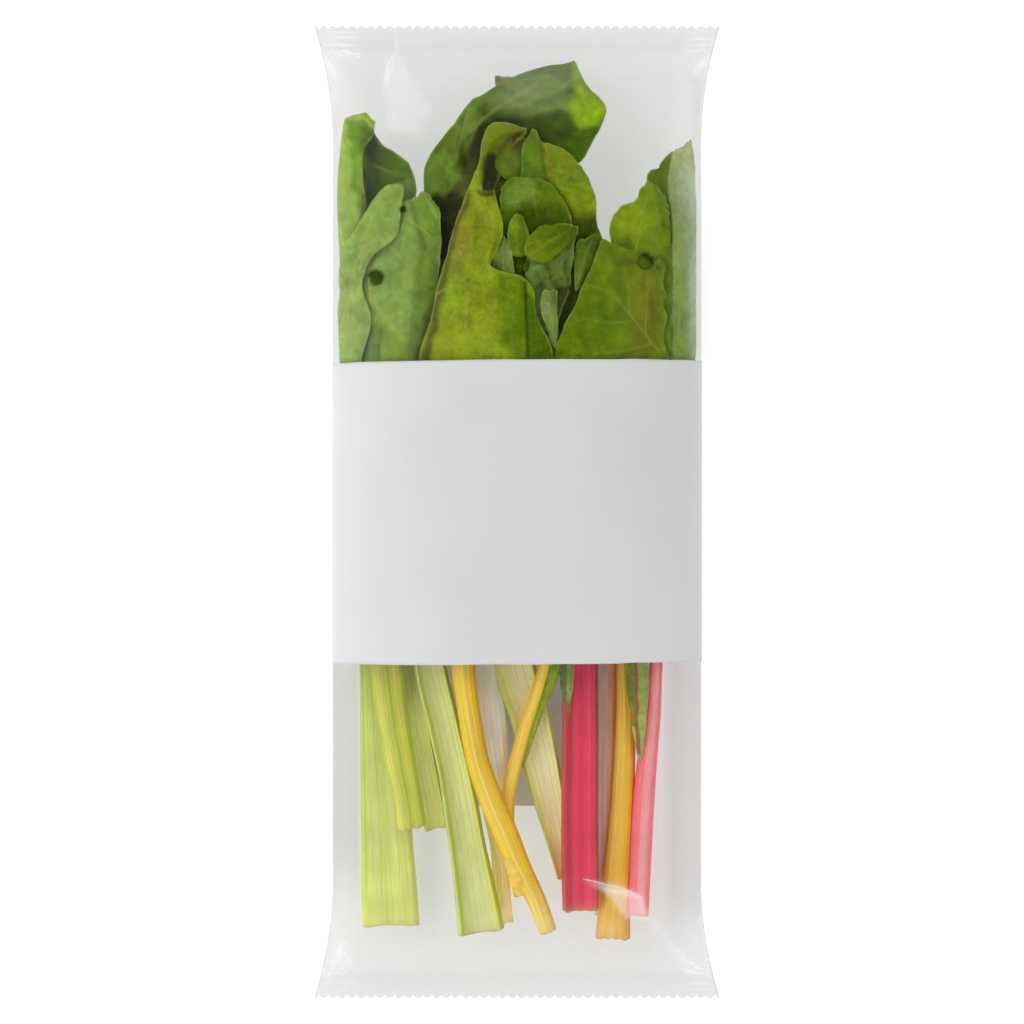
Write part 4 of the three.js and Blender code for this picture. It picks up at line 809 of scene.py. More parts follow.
BLADES["blade_11"] = blade(
    tint=(122, 152, 72), wave=(0, 1), crinkle=0.4, lobes=0.3,
    patches="66 136 6 20 168 184 118 0.9, 65 104 6 14 136 160 88 0.8",
    areas=[("48 130, 52 137, 60.8 142.4, 59.6 133.5, 58.9 130, 59.4 122, 61 117, 61 50, 48 50", 0.8,
            (84, 112, 1), 0.95)],
    veins=[("63 66, 64 90, 64 115, 65 138", 0.9, (0.3, 1)), ("64 100, 67 108, 69 113", 0.5, (0.3, 1))],
    plan="""24: 57.5 6, 58 5.2, 59 4.4, 60.5 4.2, 62 4.4, 63.5 4.8;
        60: 60 3.4, 60.6 2.7, 61.2 2, 64 1.2, 67.5 1.4, 70 3;
        80: 60 3.4, 60.6 2.7, 61.2 2, 64 1.2, 67.8 1.4, 70.2 3;
        98: 59.8 3.6, 60.6 2.8, 61.1 2, 64 1.2, 67.8 1.4, 70.3 3;
        112: 56.6 6.8, 60.2 4.8, 60.9 2.2, 63.8 1.2, 67.8 1.4, 70.3 3;
        122: 54 6.6, 58.9 5.4, 60.1 2.4, 63.5 1.2, 67.5 1.4, 70.2 3;
        52 127.5 6.8, 57.8 127.5 5.6, 60 127.5 2.5, 63.4 127.5 1.2, 67.3 127.5 1.4, 70.1 128 3;
        50.9 131 6.8, 57.4 131.4 5.6, 60 131 2.6, 63.3 131 1.3, 67 131 1.4, 70 132 3;
        52.4 133.9 6.8, 57.6 134 5.5, 60.1 134 2.8, 63.1 134.4 1.4, 66.8 134.8 1.5, 69.8 136 3;
        55.7 134.9 6.6, 58 135.6 5.4, 60.2 136.2 2.9, 63 137 1.6, 66.5 138 1.6, 69.3 139.6 3;
        56.5 137 6.4, 58.5 137.8 5.2, 60.3 138.2 3, 63.1 139.2 1.7, 66.4 140.4 1.7, 69 142 3;
        58 139 6, 59.3 139.5 5, 60.6 139.9 3.1, 63.3 141 1.9, 66.2 142.4 1.8, 68.6 144 2.9;
        60.6 140.9 5.4, 60.9 141.1 4.4, 61.6 141.6 3.2, 63.6 142.7 2.2, 66 144.2 2, 68 145.8 2.8""")

# Painted shade: dark discs on the blades under the vents and at one nick, standing in for the shadow seen
# through them: middle, radius and colour.
VENT_SHADE_SPOTS = ((-55.2, 91.9, 2.9, (46, 70, 6)), (1.8, 96.7, 2.9, (76, 98, 2)), (50.4, 98.2, 3.0, (74, 94, 8)),
         (-44.8, 118.6, 1.1, (40, 44, 20)))


# Small leaf pieces between the blades and along the stalks, each with the node that it belongs to.
BITS = {}
BITS["small_lobe"] = blade(
    of="blade_08", tint=(92, 116, 4), wave=(0.2, 2),
    patches="7 104 4 5 122 140 14 0.85, 20 109 5 4 66 96 2 0.8",
    folds=[("9 108, 14 108, 20 110", 1.1, 0.5, 0.2), ("6 104, 12 103, 18 106", 1.2, 0.4, 0.15)],
    veins=[("5 101, 12 105.6, 21 111", 0.7)],
    plan="""3 100.8 2.6, 6.5 98.6 2.2, 11.4 97.8 2.2, 16 101 2.2, 20 105.2 2.4, 23.8 109 3;
        2.8 104 2.4, 7 103.6 1.6, 12 104 1.4, 16.5 106 1.4, 20.5 108.3 1.8, 24 110.4 2.8;
        4.4 108.3 2.8, 8.6 111.6 2.4, 13 112.6 2.2, 17.5 113 2.2, 21.7 112.7 2.4, 24.2 111.4 3""")
BITS["oval"] = blade(
    of="blade_07", tint=(88, 114, 2), crinkle=0.4,
    patches="-1 112 2 4 118 142 26 0.7, 2 103 2 3 84 106 10 0.6",
    veins=[("0.4 101.5, 0 107, -0.6 113.5", 0.5)],
    plan="""-2 100.6 3, 0 100 2.6, 1.4 100 2.6, 3 100.8 3; 105: -3.4 2.6, -0.8 1.5, 1.6 1.5, 4.2 2.6;
        110.6: -3.6 2.6, -1 1.4, 1.4 1.4, 4.2 2.6;
        -2.2 115.4 2.8, -0.6 116.6 2.2, 0.8 116.6 2.2, 2.4 115.4 2.8""")
BITS["grey_wedge"] = blade(
    of="blade_07", tint=(104, 120, 56), wave=(0.2, 2),
    patches="-3 102 2 5 146 160 84 0.6, -7 96 2 3 84 96 40 0.6",
    veins=[("-5 94, -5.6 100, -5.4 106", 0.5)],
    plan="""-9.2 94 3.4, -6 92 2.8, -3.4 92.2 2.8, -0.8 93.6 3.4; 98: -9.8 3.2, -6.6 2.4, -4 2.4, -1.4 3.2;
        -9 103 3.2, -6.6 103 2.6, -4.6 103 2.6, -2.2 102.4 3.2;
        -7.4 107 3.4, -6.2 108 3, -5 108 3, -4 106.6 3.4""")
BITS["pale_slip"] = blade(
    of="blade_08", tint=(116, 142, 72), crinkle=0.4,
    patches="11 82 3 4 132 156 90 0.6",
    veins=[("15 68, 13.4 76, 12.4 85", 0.5)],
    plan="""64: 14.6 5, 15 4.8, 15.4 4.8, 15.8 5; 11.4 72.6 4.6, 13 73 4, 14.4 73 4, 15.9 73 4.6;
        8.8 80.6 4.2, 11.4 81 3.4, 13.8 81 3.4, 16.1 81 4.2;
        9.4 85.6 4.2, 11.4 87 3.6, 13.6 87 3.6, 16.1 86.4 4.2""")
BITS["side_slip"] = blade(
    of="blade_06", tint=(90, 112, 18), wave=(0.3, 3), crinkle=0.6,
    patches="29 105 4 3 70 86 22 0.8, 25 96 2 6 108 132 44 0.6",
    veins=[("24 90, 26 98, 29 106", 0.6)],
    plan="""22.8 86.6 7, 23.6 86.6 6.8, 24.4 87 6.8, 25.2 88 7;
        22.4 94 6.4, 24.4 94 5.6, 26.4 94 5.6, 28.6 94.4 6.6; 101: 22.6 6, 25.6 4.8, 28.6 4.8, 31.8 6.2;
        23.6 106.4 5.8, 27 107.4 4.8, 30.6 109 4.8, 33.8 107.4 6""")
BITS["hood_inside"] = blade(
    of="blade_05", tint=(106, 122, 28), wave=(0.3, 3), crinkle=0.6, rim=0.55,
    patches="0 144 3 3 74 54 22 0.8",
    veins=[("-6 134, -5 139, -2 143", 0.3)],
    plan="""-4.8 130.6 8.4, -3 130 7.8, -1 130 7.8, 1.6 130.6 8.4;
        -8.8 135.4 7.5, -5.6 135.6 7.1, -1.8 136 7.3, 2.4 137 8.4;
        -8.2 141 7.4, -5 141.4 7.3, -1.4 142 7.5, 2.8 143 8.4;
        -6.8 144.6 8.2, -4 145.4 8, -0.6 146.2 8, 3.4 147 8.4""")
BITS["brown_tip"] = blade(
    of="blade_04", tint=(122, 122, 62), crinkle=0.3,
    patches="-7.6 169.6 1.6 1.6 96 84 50 0.7",
    veins=[("-4 166, -5 168.6, -6.4 170", 0.4)],
    plan="""162: -8 3.4, -6 3.2, -4 3.2, -1.6 3.3; -8.4 168.4 3, -6.2 168.6 2.8, -4 169 2.8, -1.8 169 3;
        -8.3 171.4 3, -6 170.8 2.8, -4 170.6 2.8, -2 170.4 3""")
BITS["curl"] = blade(
    of="blade_10", tint=(96, 118, 14), crinkle=0.3,
    patches="55.4 96 1.4 2 64 82 6 0.8",
    veins=[("54.2 97.6, 56.4 97, 57.4 94.4", 0.6)],
    plan="""54.6 92.6 2.6, 55.6 92.8 1.8, 57 93 1.8, 58 93.6 2.6;
        54 95.4 2.4, 55.4 95.6 1.6, 56.8 95.8 1.6, 58.2 96 2.4;
        53.6 98.4 2.8, 55 99 2.2, 56.4 99 2.2, 57.6 98 2.8""")
BITS["margin_frill"] = blade(
    of="blade_10", tint=(98, 122, 22), wave=(0.5, 7), lobes=0.2,
    patches="60 74 1.5 8 112 138 40 0.6, 60 90 1.5 5 104 130 30 0.6",
    veins=[("60.4 62, 60 74, 60.4 88", 0.4)],
    plan="""50: 56 5.4, 58 4.4, 60 3.6, 62 3.2; 68: 55.6 5.4, 57.8 4.4, 60 3.4, 62 3.2;
        84: 55.6 5.4, 57.8 4.4, 60 3.4, 62 3.2; 96: 56.4 5.6, 58.2 4.6, 60 3.6, 61.8 3.4;
        105: 57 5.6, 58.6 4.6, 60.2 3.8, 61.6 3.6""")
BITS["stem_leaf_left"] = blade(
    of="stalk_06", tint=(150, 170, 62), wave=(0.1, 3), crinkle=0.2, rim=0.2,
    patches="15 -60 4 5 120 142 50 0.7",
    veins=[("17 -57, 12 -72, 7 -86", 0.4)],
    plan="""1.8 -100 15, 2.1 -100.2 14.6, 2.5 -100.2 14.6, 2.8 -100 15;
        -78: 8 15, 8.9 14.2, 9.7 14.2, 10.6 15; -66: 12 15, 13.4 14, 14.6 14, 15.8 15;
        -55: 13 15, 15.2 14, 17.6 14, 20 15""")
BITS["stem_leaf_red"] = blade(
    of="stalk_09", tint=(146, 160, 88), wave=(0.1, 3), crinkle=0.2, rim=0.1,
    areas=[("16 -54, 19.3 -54, 19.6 -70, 19.8 -84, 16 -84", 0.7, (92, 108, 84), 0.9),
           ("16 -76, 24 -76, 24 -92, 16 -92", 6, (176, 84, 66), 0.9)],
    veins=[("19.4 -57, 19.5 -70, 19.7 -80", 0.4)],
    plan="""-88: 19 14.4, 19.4 14.2, 19.8 14.2, 20.2 14.4; -78: 18 14.2, 19 13.4, 20.2 13.4, 21.2 14.2;
        -66: 17.2 14, 18.8 13.2, 20.4 13.2, 22 14; -54: 16.6 14, 18.6 13.2, 20.6 13.2, 22.4 14""")
BITS["stem_leaf_right"] = blade(
    of="stalk_10", tint=(168, 188, 100), crinkle=0.2, rim=0.1,
    areas=[("42 -54, 45.4 -54, 45.8 -70, 46.6 -84, 42 -84", 0.8, (112, 124, 46), 0.9),
           ("45.4 -54, 46.8 -54, 47.4 -72, 48.2 -96, 46.6 -96, 45.8 -70", 0.7, (158, 84, 66), 0.9)],
    veins=[("49.2 -57, 49 -72, 48.8 -88", 0.5)],
    plan="""-97: 47.4 12.4, 47.9 12.2, 48.4 12.2, 48.9 12.4; -84: 45 11.6, 46.6 11.2, 48.6 11.2, 50.8 12;
        -70: 43.2 10.8, 45.6 10.6, 48.6 11, 51.8 12; -54: 42.4 10.4, 45.2 10.2, 48.6 10.8, 52.6 12""")
BITS["stalk_peel"] = blade(
    of="stalk_05", skin="stalk_strings", tint=(255, 216, 92), crinkle=0.1, rim=0.05,
    patches="0 -147 4 4 250 196 56 0.7",
    veins=[("-3.6 -146, -5 -138, -8 -128", 0.5)],
    plan="""-0.8 -149.6 4.8, 0.4 -150.6 4, 1.8 -150.4 4, 3.4 -149 4.6;
        -2.6 -146.4 4.8, -0.8 -146.8 3.6, 1.2 -146.6 3.4, 3.8 -146 4.4;
        -140: -4.2 5, -2.4 3.9, -0.6 3.8, 1.6 4.8; -133: -6 5.8, -4.6 5, -3.2 5, -1.8 5.8""")

BLADE_ROWS = 120
BLADE_COLUMNS = 78
BIT_ROWS, BIT_COLUMNS = 44, 26
BLADE_THICKNESS = 0.5
VEIN_LIFT, VEIN_SPREAD = 0.22, 1.1  # how far a vein lifts the blade for its width, and how far around it
LEAST_DEPTH = 0.7  # from the film's inside to the nearest blade
PALE_MARGIN_AND_HIGHLIGHT = (176, 196, 96)
VENT_RIM_SHADOW = (34, 44, 10)
PALE_VEIN = (196, 200, 110)


def blade_grid(spec, seed, crinkle, rows, columns):
    """The blade's upper face as grids: plan x and y, true points, and shares along and across."""
    plan = spec["plan"]
    u, v = np.linspace(0, 1, rows + 1), np.linspace(0, 1, columns + 1)
    u, v = mix(u, np.sin(np.pi / 2 * u), 0.5), mix(v, 0.5 - 0.5 * np.cos(np.pi * v), 0.6)
    lines = np.stack([spline(plan[:, k], u) for k in range(plan.shape[1])], 1)
    sheet = np.stack([spline(line, v) for line in lines])
    px, py, depth = sheet[..., 0], sheet[..., 1], sheet[..., 2]
    U, V = np.meshgrid(u, v, indexing="ij")
    edge = np.abs(2 * V - 1)
    # margins that rise and fall, blisters with puckers between them, and a fine frill
    height, count = spec["wave"]
    start = smooth(4 * U - 1)
    depth = depth + height * edge ** 4 * start * np.sin(2 * np.pi * count * U + 4 * V)
    bumps = ripple(px, py, 8.5, seed) + 0.55 * ripple(px, py, 4.2, seed + 1)
    bumps = bumps + 0.25 * ripple(px, py, 2.1, seed + 2)
    pucker = np.abs(ripple(px, py, 6.0, seed + 13)) + 0.5 * np.abs(ripple(px, py, 3.2, seed + 14))
    depth = depth - crinkle * spec["crinkle"] * (1.15 * bumps + 0.9 * pucker - 0.4) * smooth(3 * U)
    length = np.hypot(*(sheet[-1, columns // 2, :2] - sheet[0, columns // 2, :2]))
    frill = ripple(0.8 * length * U + 9 * V, 5 * V, 3.4, seed + 3)
    depth = depth + 0.5 * frill * edge ** 8 * start
    # veins lift the blade, and folds sink it or lift it
    for line, width, _ in spec["veins"]:
        depth = depth - VEIN_LIFT * width * np.exp(-(distance_to_line(px, py, line) / VEIN_SPREAD) ** 2)
    for line, width, sunk, _ in spec["folds"]:
        depth = depth + sunk * np.exp(-(distance_to_line(px, py, line) / width) ** 2)
    # lobes and nibbles move the margins and the tip within the plan
    across = np.gradient(sheet[..., :2], axis=1)
    across /= np.linalg.norm(across, axis=2, keepdims=True) + 1e-9
    side = np.sign(2 * V - 1) * edge ** 6 * start
    nibble = spec["lobes"] * ripple(length * U, 3 * np.sign(2 * V - 1), 7.0, seed + 4)
    nibble = nibble + 0.2 * ripple(length * U, 5 * np.sign(2 * V - 1), 2.8, seed + 6)
    px = px + across[..., 0] * nibble * side
    py = py + across[..., 1] * nibble * side
    top_edge = smooth((U - 0.93) / 0.07)
    py = py + 0.6 * ripple(60 * V, U, 4.0, seed + 5) * top_edge
    depth = np.maximum(depth, LEAST_DEPTH)
    # a point's true place depends on its height and the other way round, so a few rounds settle both
    x, y = px, py
    for _ in range(3):
        x, y = place(px, py, top_of(x, y, FILM) - depth)
    points = np.stack([x, y, top_of(x, y, FILM) - depth], -1)
    return px, py, points, U, V


def blade_tint(spec, px, py, seed, V):
    """The blade's colours: its tint, patches, areas, folds, mottling, pale margin and painted shade under the
    vents.
    """
    tint = np.ones(px.shape + (3,)) * linear(spec["tint"])
    for x, y, wide, tall, *colour, share in spec["patches"]:
        weight = share * np.exp(-(((px - x) / wide) ** 2 + ((py - y) / tall) ** 2) ** 1.5)
        tint = mix(tint, linear(colour), weight[..., None])
    for corners, soft, colour, share, (low, high) in spec["areas"]:
        uneven = min(1.3, 0.15 + 0.5 * soft) * ripple(px, py, 4.0, seed + 11)
        weight = share * area_weight(px + uneven, py + uneven, corners, soft) * ((V >= low) & (V <= high))
        tint = mix(tint, linear(colour), weight[..., None])
    # painted shade along the sunk folds, and painted highlight along raised folds whose share is negative
    for line, width, _, dark in spec["folds"]:
        near = np.exp(-(distance_to_line(px, py, line) / width) ** 2)
        tint = tint * (1 - dark * near)[..., None]
    # mottling, painted shade in the creases between the blisters, and a drift to warmer and cooler green
    tone = 1 + 0.16 * ripple(px, py, 7.0, seed + 7) + 0.09 * ripple(px, py, 2.8, seed + 8)
    crease = np.exp(-(np.abs(ripple(px, py, 6.0, seed + 13)) / 0.16) ** 2)
    tone = tone - 0.1 * crease + 0.1 * np.abs(ripple(px, py, 1.6, seed + 15))
    warm = 0.12 * ripple(px, py, 13.0, seed + 9)
    tint = tint * tone[..., None] * np.stack([1 + warm, np.ones_like(warm), 1 - warm], -1)
    # a pale margin, broken here and there: partly the leaf's own paler edge, partly painted highlight where
    # edges catch the light
    sides = np.stack([px, py], -1)
    outline = np.concatenate([sides[::2, 0], sides[-1, ::2], sides[::-2, -1]])
    broken = np.clip(0.55 + 0.6 * ripple(px, py, 5.0, seed + 12), 0.1, 1)
    rim = spec["rim"] * broken * smooth(1 - distance_to_line(px, py, outline) / 0.8)
    tint = mix(tint, linear(PALE_MARGIN_AND_HIGHLIGHT), rim[..., None])
    # painted shade under the vents: a dark disc, darker towards one side, with a dark ring of shadow at the
    # hole's edge
    for x, y, radius, colour in VENT_SHADE_SPOTS:
        away = np.hypot(px - x, py - y)
        ring = np.exp(-((away - radius) / 0.45) ** 2)
        hollow_shade = linear(colour) * (1 - 0.45 * smooth((px - x + py - y) / radius / 2 + 0.5))[..., None]
        tint = mix(tint, hollow_shade, smooth(0.5 + (radius - away) / 0.5)[..., None])
        tint = mix(tint, linear(VENT_RIM_SHADOW), 0.8 * ring[..., None])
    return tint


def make_blade(name, spec, seed, material, crinkle, slot, nodes=(), size=(BLADE_ROWS, BLADE_COLUMNS)):
    """A leaf blade or small piece; what comes back is where veins may be laid on it."""
    px, py, points, U, V = blade_grid(spec, seed, crinkle, *size)
    normals = grid_normals(points)
    edge = np.maximum(np.abs(2 * V - 1), smooth((U - 0.9) / 0.1))
    thickness = BLADE_THICKNESS * (1 - 0.45 * edge ** 10)
    under = points - normals * thickness[..., None]
    colours = blade_tint(spec, px, py, seed, V)
    vein = np.zeros(px.shape)
    for line, width, (low, high) in spec["veins"]:
        near = np.exp(-(distance_to_line(px, py, line) / (0.36 + 0.3 * width)) ** 2) * width ** 0.6
        vein = np.maximum(vein, near * ((V >= low) & (V <= high)))
    thing = make_mesh(name, *slab(points, under), material,
                      np.concatenate([colours.reshape(-1, 3), colours.reshape(-1, 3) * 1.1]),
                      {"vein": np.concatenate([vein.ravel(), 0.6 * vein.ravel()])})
    ride(thing, slot, *nodes)
    return px, py, points, V


# ---------------------------------------------------------------- stalks

# Sections seen along a stalk, clockwise from its left side, in shares of half its width and thickness.
CHANNEL = read("-1 0.2, -0.84 1, -0.55 0.5, 0 0.28, 0.55 0.5, 0.84 1, 1 0.2, 0.8 -0.55, 0.3 -1, -0.3 -1, "
               "-0.8 -0.55")
FLAT = read("-1 0, -0.86 0.74, -0.5 0.82, 0 0.74, 0.5 0.82, 0.86 0.74, 1 0, 0.72 -0.8, 0.25 -1, -0.25 -1, "
            "-0.72 -0.8")
RIBBED = read("-1 -0.2, -0.8 0.6, -0.5 0.84, -0.25 0.85, 0 0.95, 0.25 0.85, 0.5 0.84, 0.8 0.6, 1 -0.2, "
              "0.55 -0.95, -0.55 -0.95")
TURNS = [math.pi - 2 * math.pi * i / 11 for i in range(11)]
ROUND = [(math.cos(turn), math.sin(turn)) for turn in TURNS]


def stalk(section, across, path, faded_end=0.0, of=None):
    """One stalk: colours across it as "share red green blue", and a path of "x y height width thickness"."""
    stops = [(share, colour) for share, *colour in read(across)]
    return {"section": section, "across": stops, "path": read(path), "faded_end": faded_end, "of": of}


STALKS = {}
STALKS["stalk_01"] = stalk(
    section=FLAT,
    across="-1 206 220 100, -0.75 214 229 112, -0.45 218 227 132, -0.1 208 219 108, 0.25 216 224 126, "
           "0.55 208 218 108, 0.8 214 219 118, 1 212 211 114",
    path="-49.5 -162 7.8 22 6.4, -50.5 -140 7.8 21 6.4, -51.5 -118 7.8 19.5 6.4, -54 -90 7.8 15 6.4, "
         "-56 -60 8 11 6.4, -58 -20 11.6 9 5.6, -60 19 18 7 4")
STALKS["stalk_02"] = stalk(
    section=RIBBED,
    across="-1 192 206 44, -0.75 216 218 84, -0.35 208 206 88, 0 172 186 36, 0.2 200 202 62, "
           "0.6 206 204 70, 1 168 184 34",
    path="-41.2 -124 14.8 11 5.6, -43 -112 14.8 11 6, -45.6 -98 14.8 11.4 6.2, -48.6 -80 14.8 12 6.2, "
         "-51.2 -60 14.8 12.4 6.2, -56 -20 18.2 9 5, -60 19 24.3 5 2.6")
STALKS["stalk_03"] = stalk(
    section=CHANNEL,
    across="-1 212 220 90, -0.3 224 224 130, 0.4 222 220 128, 1 200 214 74",
    path="-31.8 -124 9 9 6, -33.8 -112 9.6 9.4 6, -36.6 -98 9.6 9.8 6, -39.8 -80 9.6 9.6 6, "
         "-42.6 -60 7 6.6 6, -46.4 -20 16 5 5, -49 19 26 4.4 3")
# the pale left edge is painted light against the shade of the rounded side
STALKS["stalk_04"] = stalk(
    section=CHANNEL,
    across="-1 206 216 140, -0.84 208 218 128, -0.76 172 198 40, -0.66 204 216 118, -0.4 212 220 144, "
           "0.1 218 224 150, 0.6 214 216 138, 0.84 206 212 96, 0.93 182 196 20, 1 168 184 24",
    path="-14 -164.5 14.5 18.4 7.6, -16.2 -150 14.5 16.6 7.8, -19.6 -130 14.5 14.4 7.8, "
         "-24 -105 14.5 12.8 7.8, -29 -82 14.5 12.2 7.6, -34 -60 15 12 7.4, -35.5 -20 19 9 6, "
         "-33 19 24.6 6 3.4")
# the pale stripe left of the middle is a painted highlight
STALKS["stalk_05"] = stalk(
    section=RIBBED, faded_end=0.4,
    across="-1 224 176 24, -0.6 246 214 62, -0.1 244 214 98, 0.35 238 198 50, 0.8 238 190 30, "
           "1 214 158 20",
    path="12 -164 16.6 7 5.2, 7.5 -152 20.6 7.4 5.6, 0.9 -139 22.6 8.8 6.2, -4.6 -126 23.5 9.8 6.6, "
         "-10.5 -112 24 9.2 6.6, -15.6 -97 24 8.6 6.6, -19 -78 24 8.6 6.6, -21.2 -60 24.5 8.8 6.6, "
         "-21 -20 29.5 7 4.6, -20 19 34 5 2.4")
STALKS["stalk_06"] = stalk(
    section=ROUND,
    across="-1 252 204 60, -0.2 255 222 102, 0.4 254 214 80, 1 214 180 46",
    path="1.8 -150 12.6 6 4.6, -0.6 -138 12.8 5.6 4.4, -3.4 -126 16 5.4 4.4, -3.6 -113 17 5.6 4.4, "
         "-0.6 -99 17 5.4 4.4, 3.8 -83 17 5.2 4.4, 11 -60 17 5 4.4, 17 -20 22 4.4 4, 19.8 19 29.3 4 3")
STALKS["stalk_07"] = stalk(
    section=ROUND,
    across="-1 246 228 150, 0 255 244 196, 1 252 232 172",
    path="-4.4 -161 7 6 4.6, -6 -148 7 7 4.8, -7 -132 7 7 4.8, -11 -112 7 7 4.8, -15 -90 7 7 4.8, "
         "-21 -60 6 6 4.8, -17 -20 17 5 4.4, -12.6 19 30.6 4 2.8")
STALKS["stalk_08"] = stalk(
    section=CHANNEL,
    across="-1 208 216 96, -0.7 234 234 148, 0 246 240 190, 0.6 242 238 178, 1 218 220 116",
    path="19 -143 7 7 5.6, 16.6 -131 8 9 6, 13 -115 9.6 12 6.2, 9 -97 10.6 14.6 6.4, "
         "5 -80 11.4 15.4 6.4, -1 -60 11.6 15.6 6.4, -3 -20 18 11 5, 0 19 32.4 5 2.4")
STALKS["stalk_09"] = stalk(
    section=CHANNEL,
    across="-1 186 80 70, -0.86 214 84 92, -0.62 206 72 88, -0.5 186 62 70, -0.42 226 76 100, "
           "-0.15 230 70 98, 0.15 212 62 92, 0.45 228 70 98, 0.8 212 66 86, 0.92 180 76 66, 1 150 90 56",
    path="24.9 -156 15.4 14.4 8, 24.7 -140 15.4 14.4 8, 24.6 -118 15.4 14.2 8, 24.7 -92 15.4 13.8 8, "
         "25 -60 16 13 8, 29.4 -20 23 9 6, 33 19 30.4 5 3")
STALKS["stalk_between_left"] = stalk(
    of="stalk_07", section=ROUND,
    across="-1 214 198 160, -0.3 236 230 208, 0.4 240 236 218, 1 226 216 186",
    path="-4.6 -122 8 5 4, -6 -110 9.6 7 5, -8 -96 11 9.4 5, -10 -80 11.6 11.6 5, -12.4 -60 11.6 12 5, "
         "-13 -30 16 10 4")
# Painted shade: a low strip, browner to the right, that stands in for the shade and the stalks' reflected
# colour on the label between stalks 9 and 10.
STALKS["stalk_between_right"] = stalk(
    of="stalk_10", section=ROUND,
    across="-1 226 214 212, -0.4 222 204 198, 0.1 216 174 146, 0.6 206 146 104, 1 204 134 60",
    path="33.4 -158 6 6 4, 33.6 -140 7.4 8 4.4, 33.8 -120 8.4 9 4.4, 34 -95 9.4 10 4.4, "
         "34.6 -60 10 10 4.4, 36 -30 18 8 4")
STALKS["stalk_10"] = stalk(
    section=RIBBED, faded_end=0.2,
    across="-1 214 152 58, -0.6 242 196 78, 0 244 198 78, 0.5 240 182 42, 0.85 228 150 30, 1 200 116 36",
    path="37.5 -167 10.6 13.4 6.4, 38.5 -150 10.6 12 6.6, 40.2 -128 10.6 10.2 6.6, "
         "41.8 -102 10.6 8.6 6.6, 42.4 -80 11 7.6 6.4, 41.8 -60 12 5.8 6, 42.6 -20 20.5 5.4 5, "
         "42 19 31 4.6 2.8")
# the pale stripe right of the middle is a painted highlight
STALKS["stalk_11"] = stalk(
    section=RIBBED,
    across="-1 246 104 108, -0.4 255 130 136, 0.2 255 180 180, 0.7 255 132 140, 1 246 108 118",
    path="47.6 -158 12 7.8 6, 48.2 -140 12 8.4 6.2, 49.2 -120 12 8.4 6.2, 50.8 -100 12 7.8 6, "
         "53.1 -80 12 6.2 5.8, 54.4 -60 12.4 5.4 5.6, 57.6 -20 16.5 5 4.6, 60 19 22.4 4.4 3")

STALK_ROWS = 132
STALK_ROUND = 66
UV_LENGTH = 60.0  # the length of stalk to one unit of its UV map
END_RINGS = (0.86, 0.6, 0.3, 0.05)  # sizes of the rings that close a cut end
FADED, BRUISE, PITH = (244, 222, 168), (196, 170, 110), (226, 218, 170)


def rounded_section(section):
    """A section's corners joined by one smooth closed line, as STALK_ROUND points."""
    loop = np.array(section[-2:] + section + section[:3], float)
    t = (2 + np.arange(STALK_ROUND) / STALK_ROUND * len(section)) / (len(loop) - 1)
    return flat_spline(loop, t)


def across_colour(stops, share):
    """The colours at shares across a stalk, between its stops."""
    shares = [s for s, _ in stops]
    colours = np.array([linear(c) for _, c in stops])
    return np.stack([np.interp(share, shares, colours[:, k]) for k in range(3)], -1)


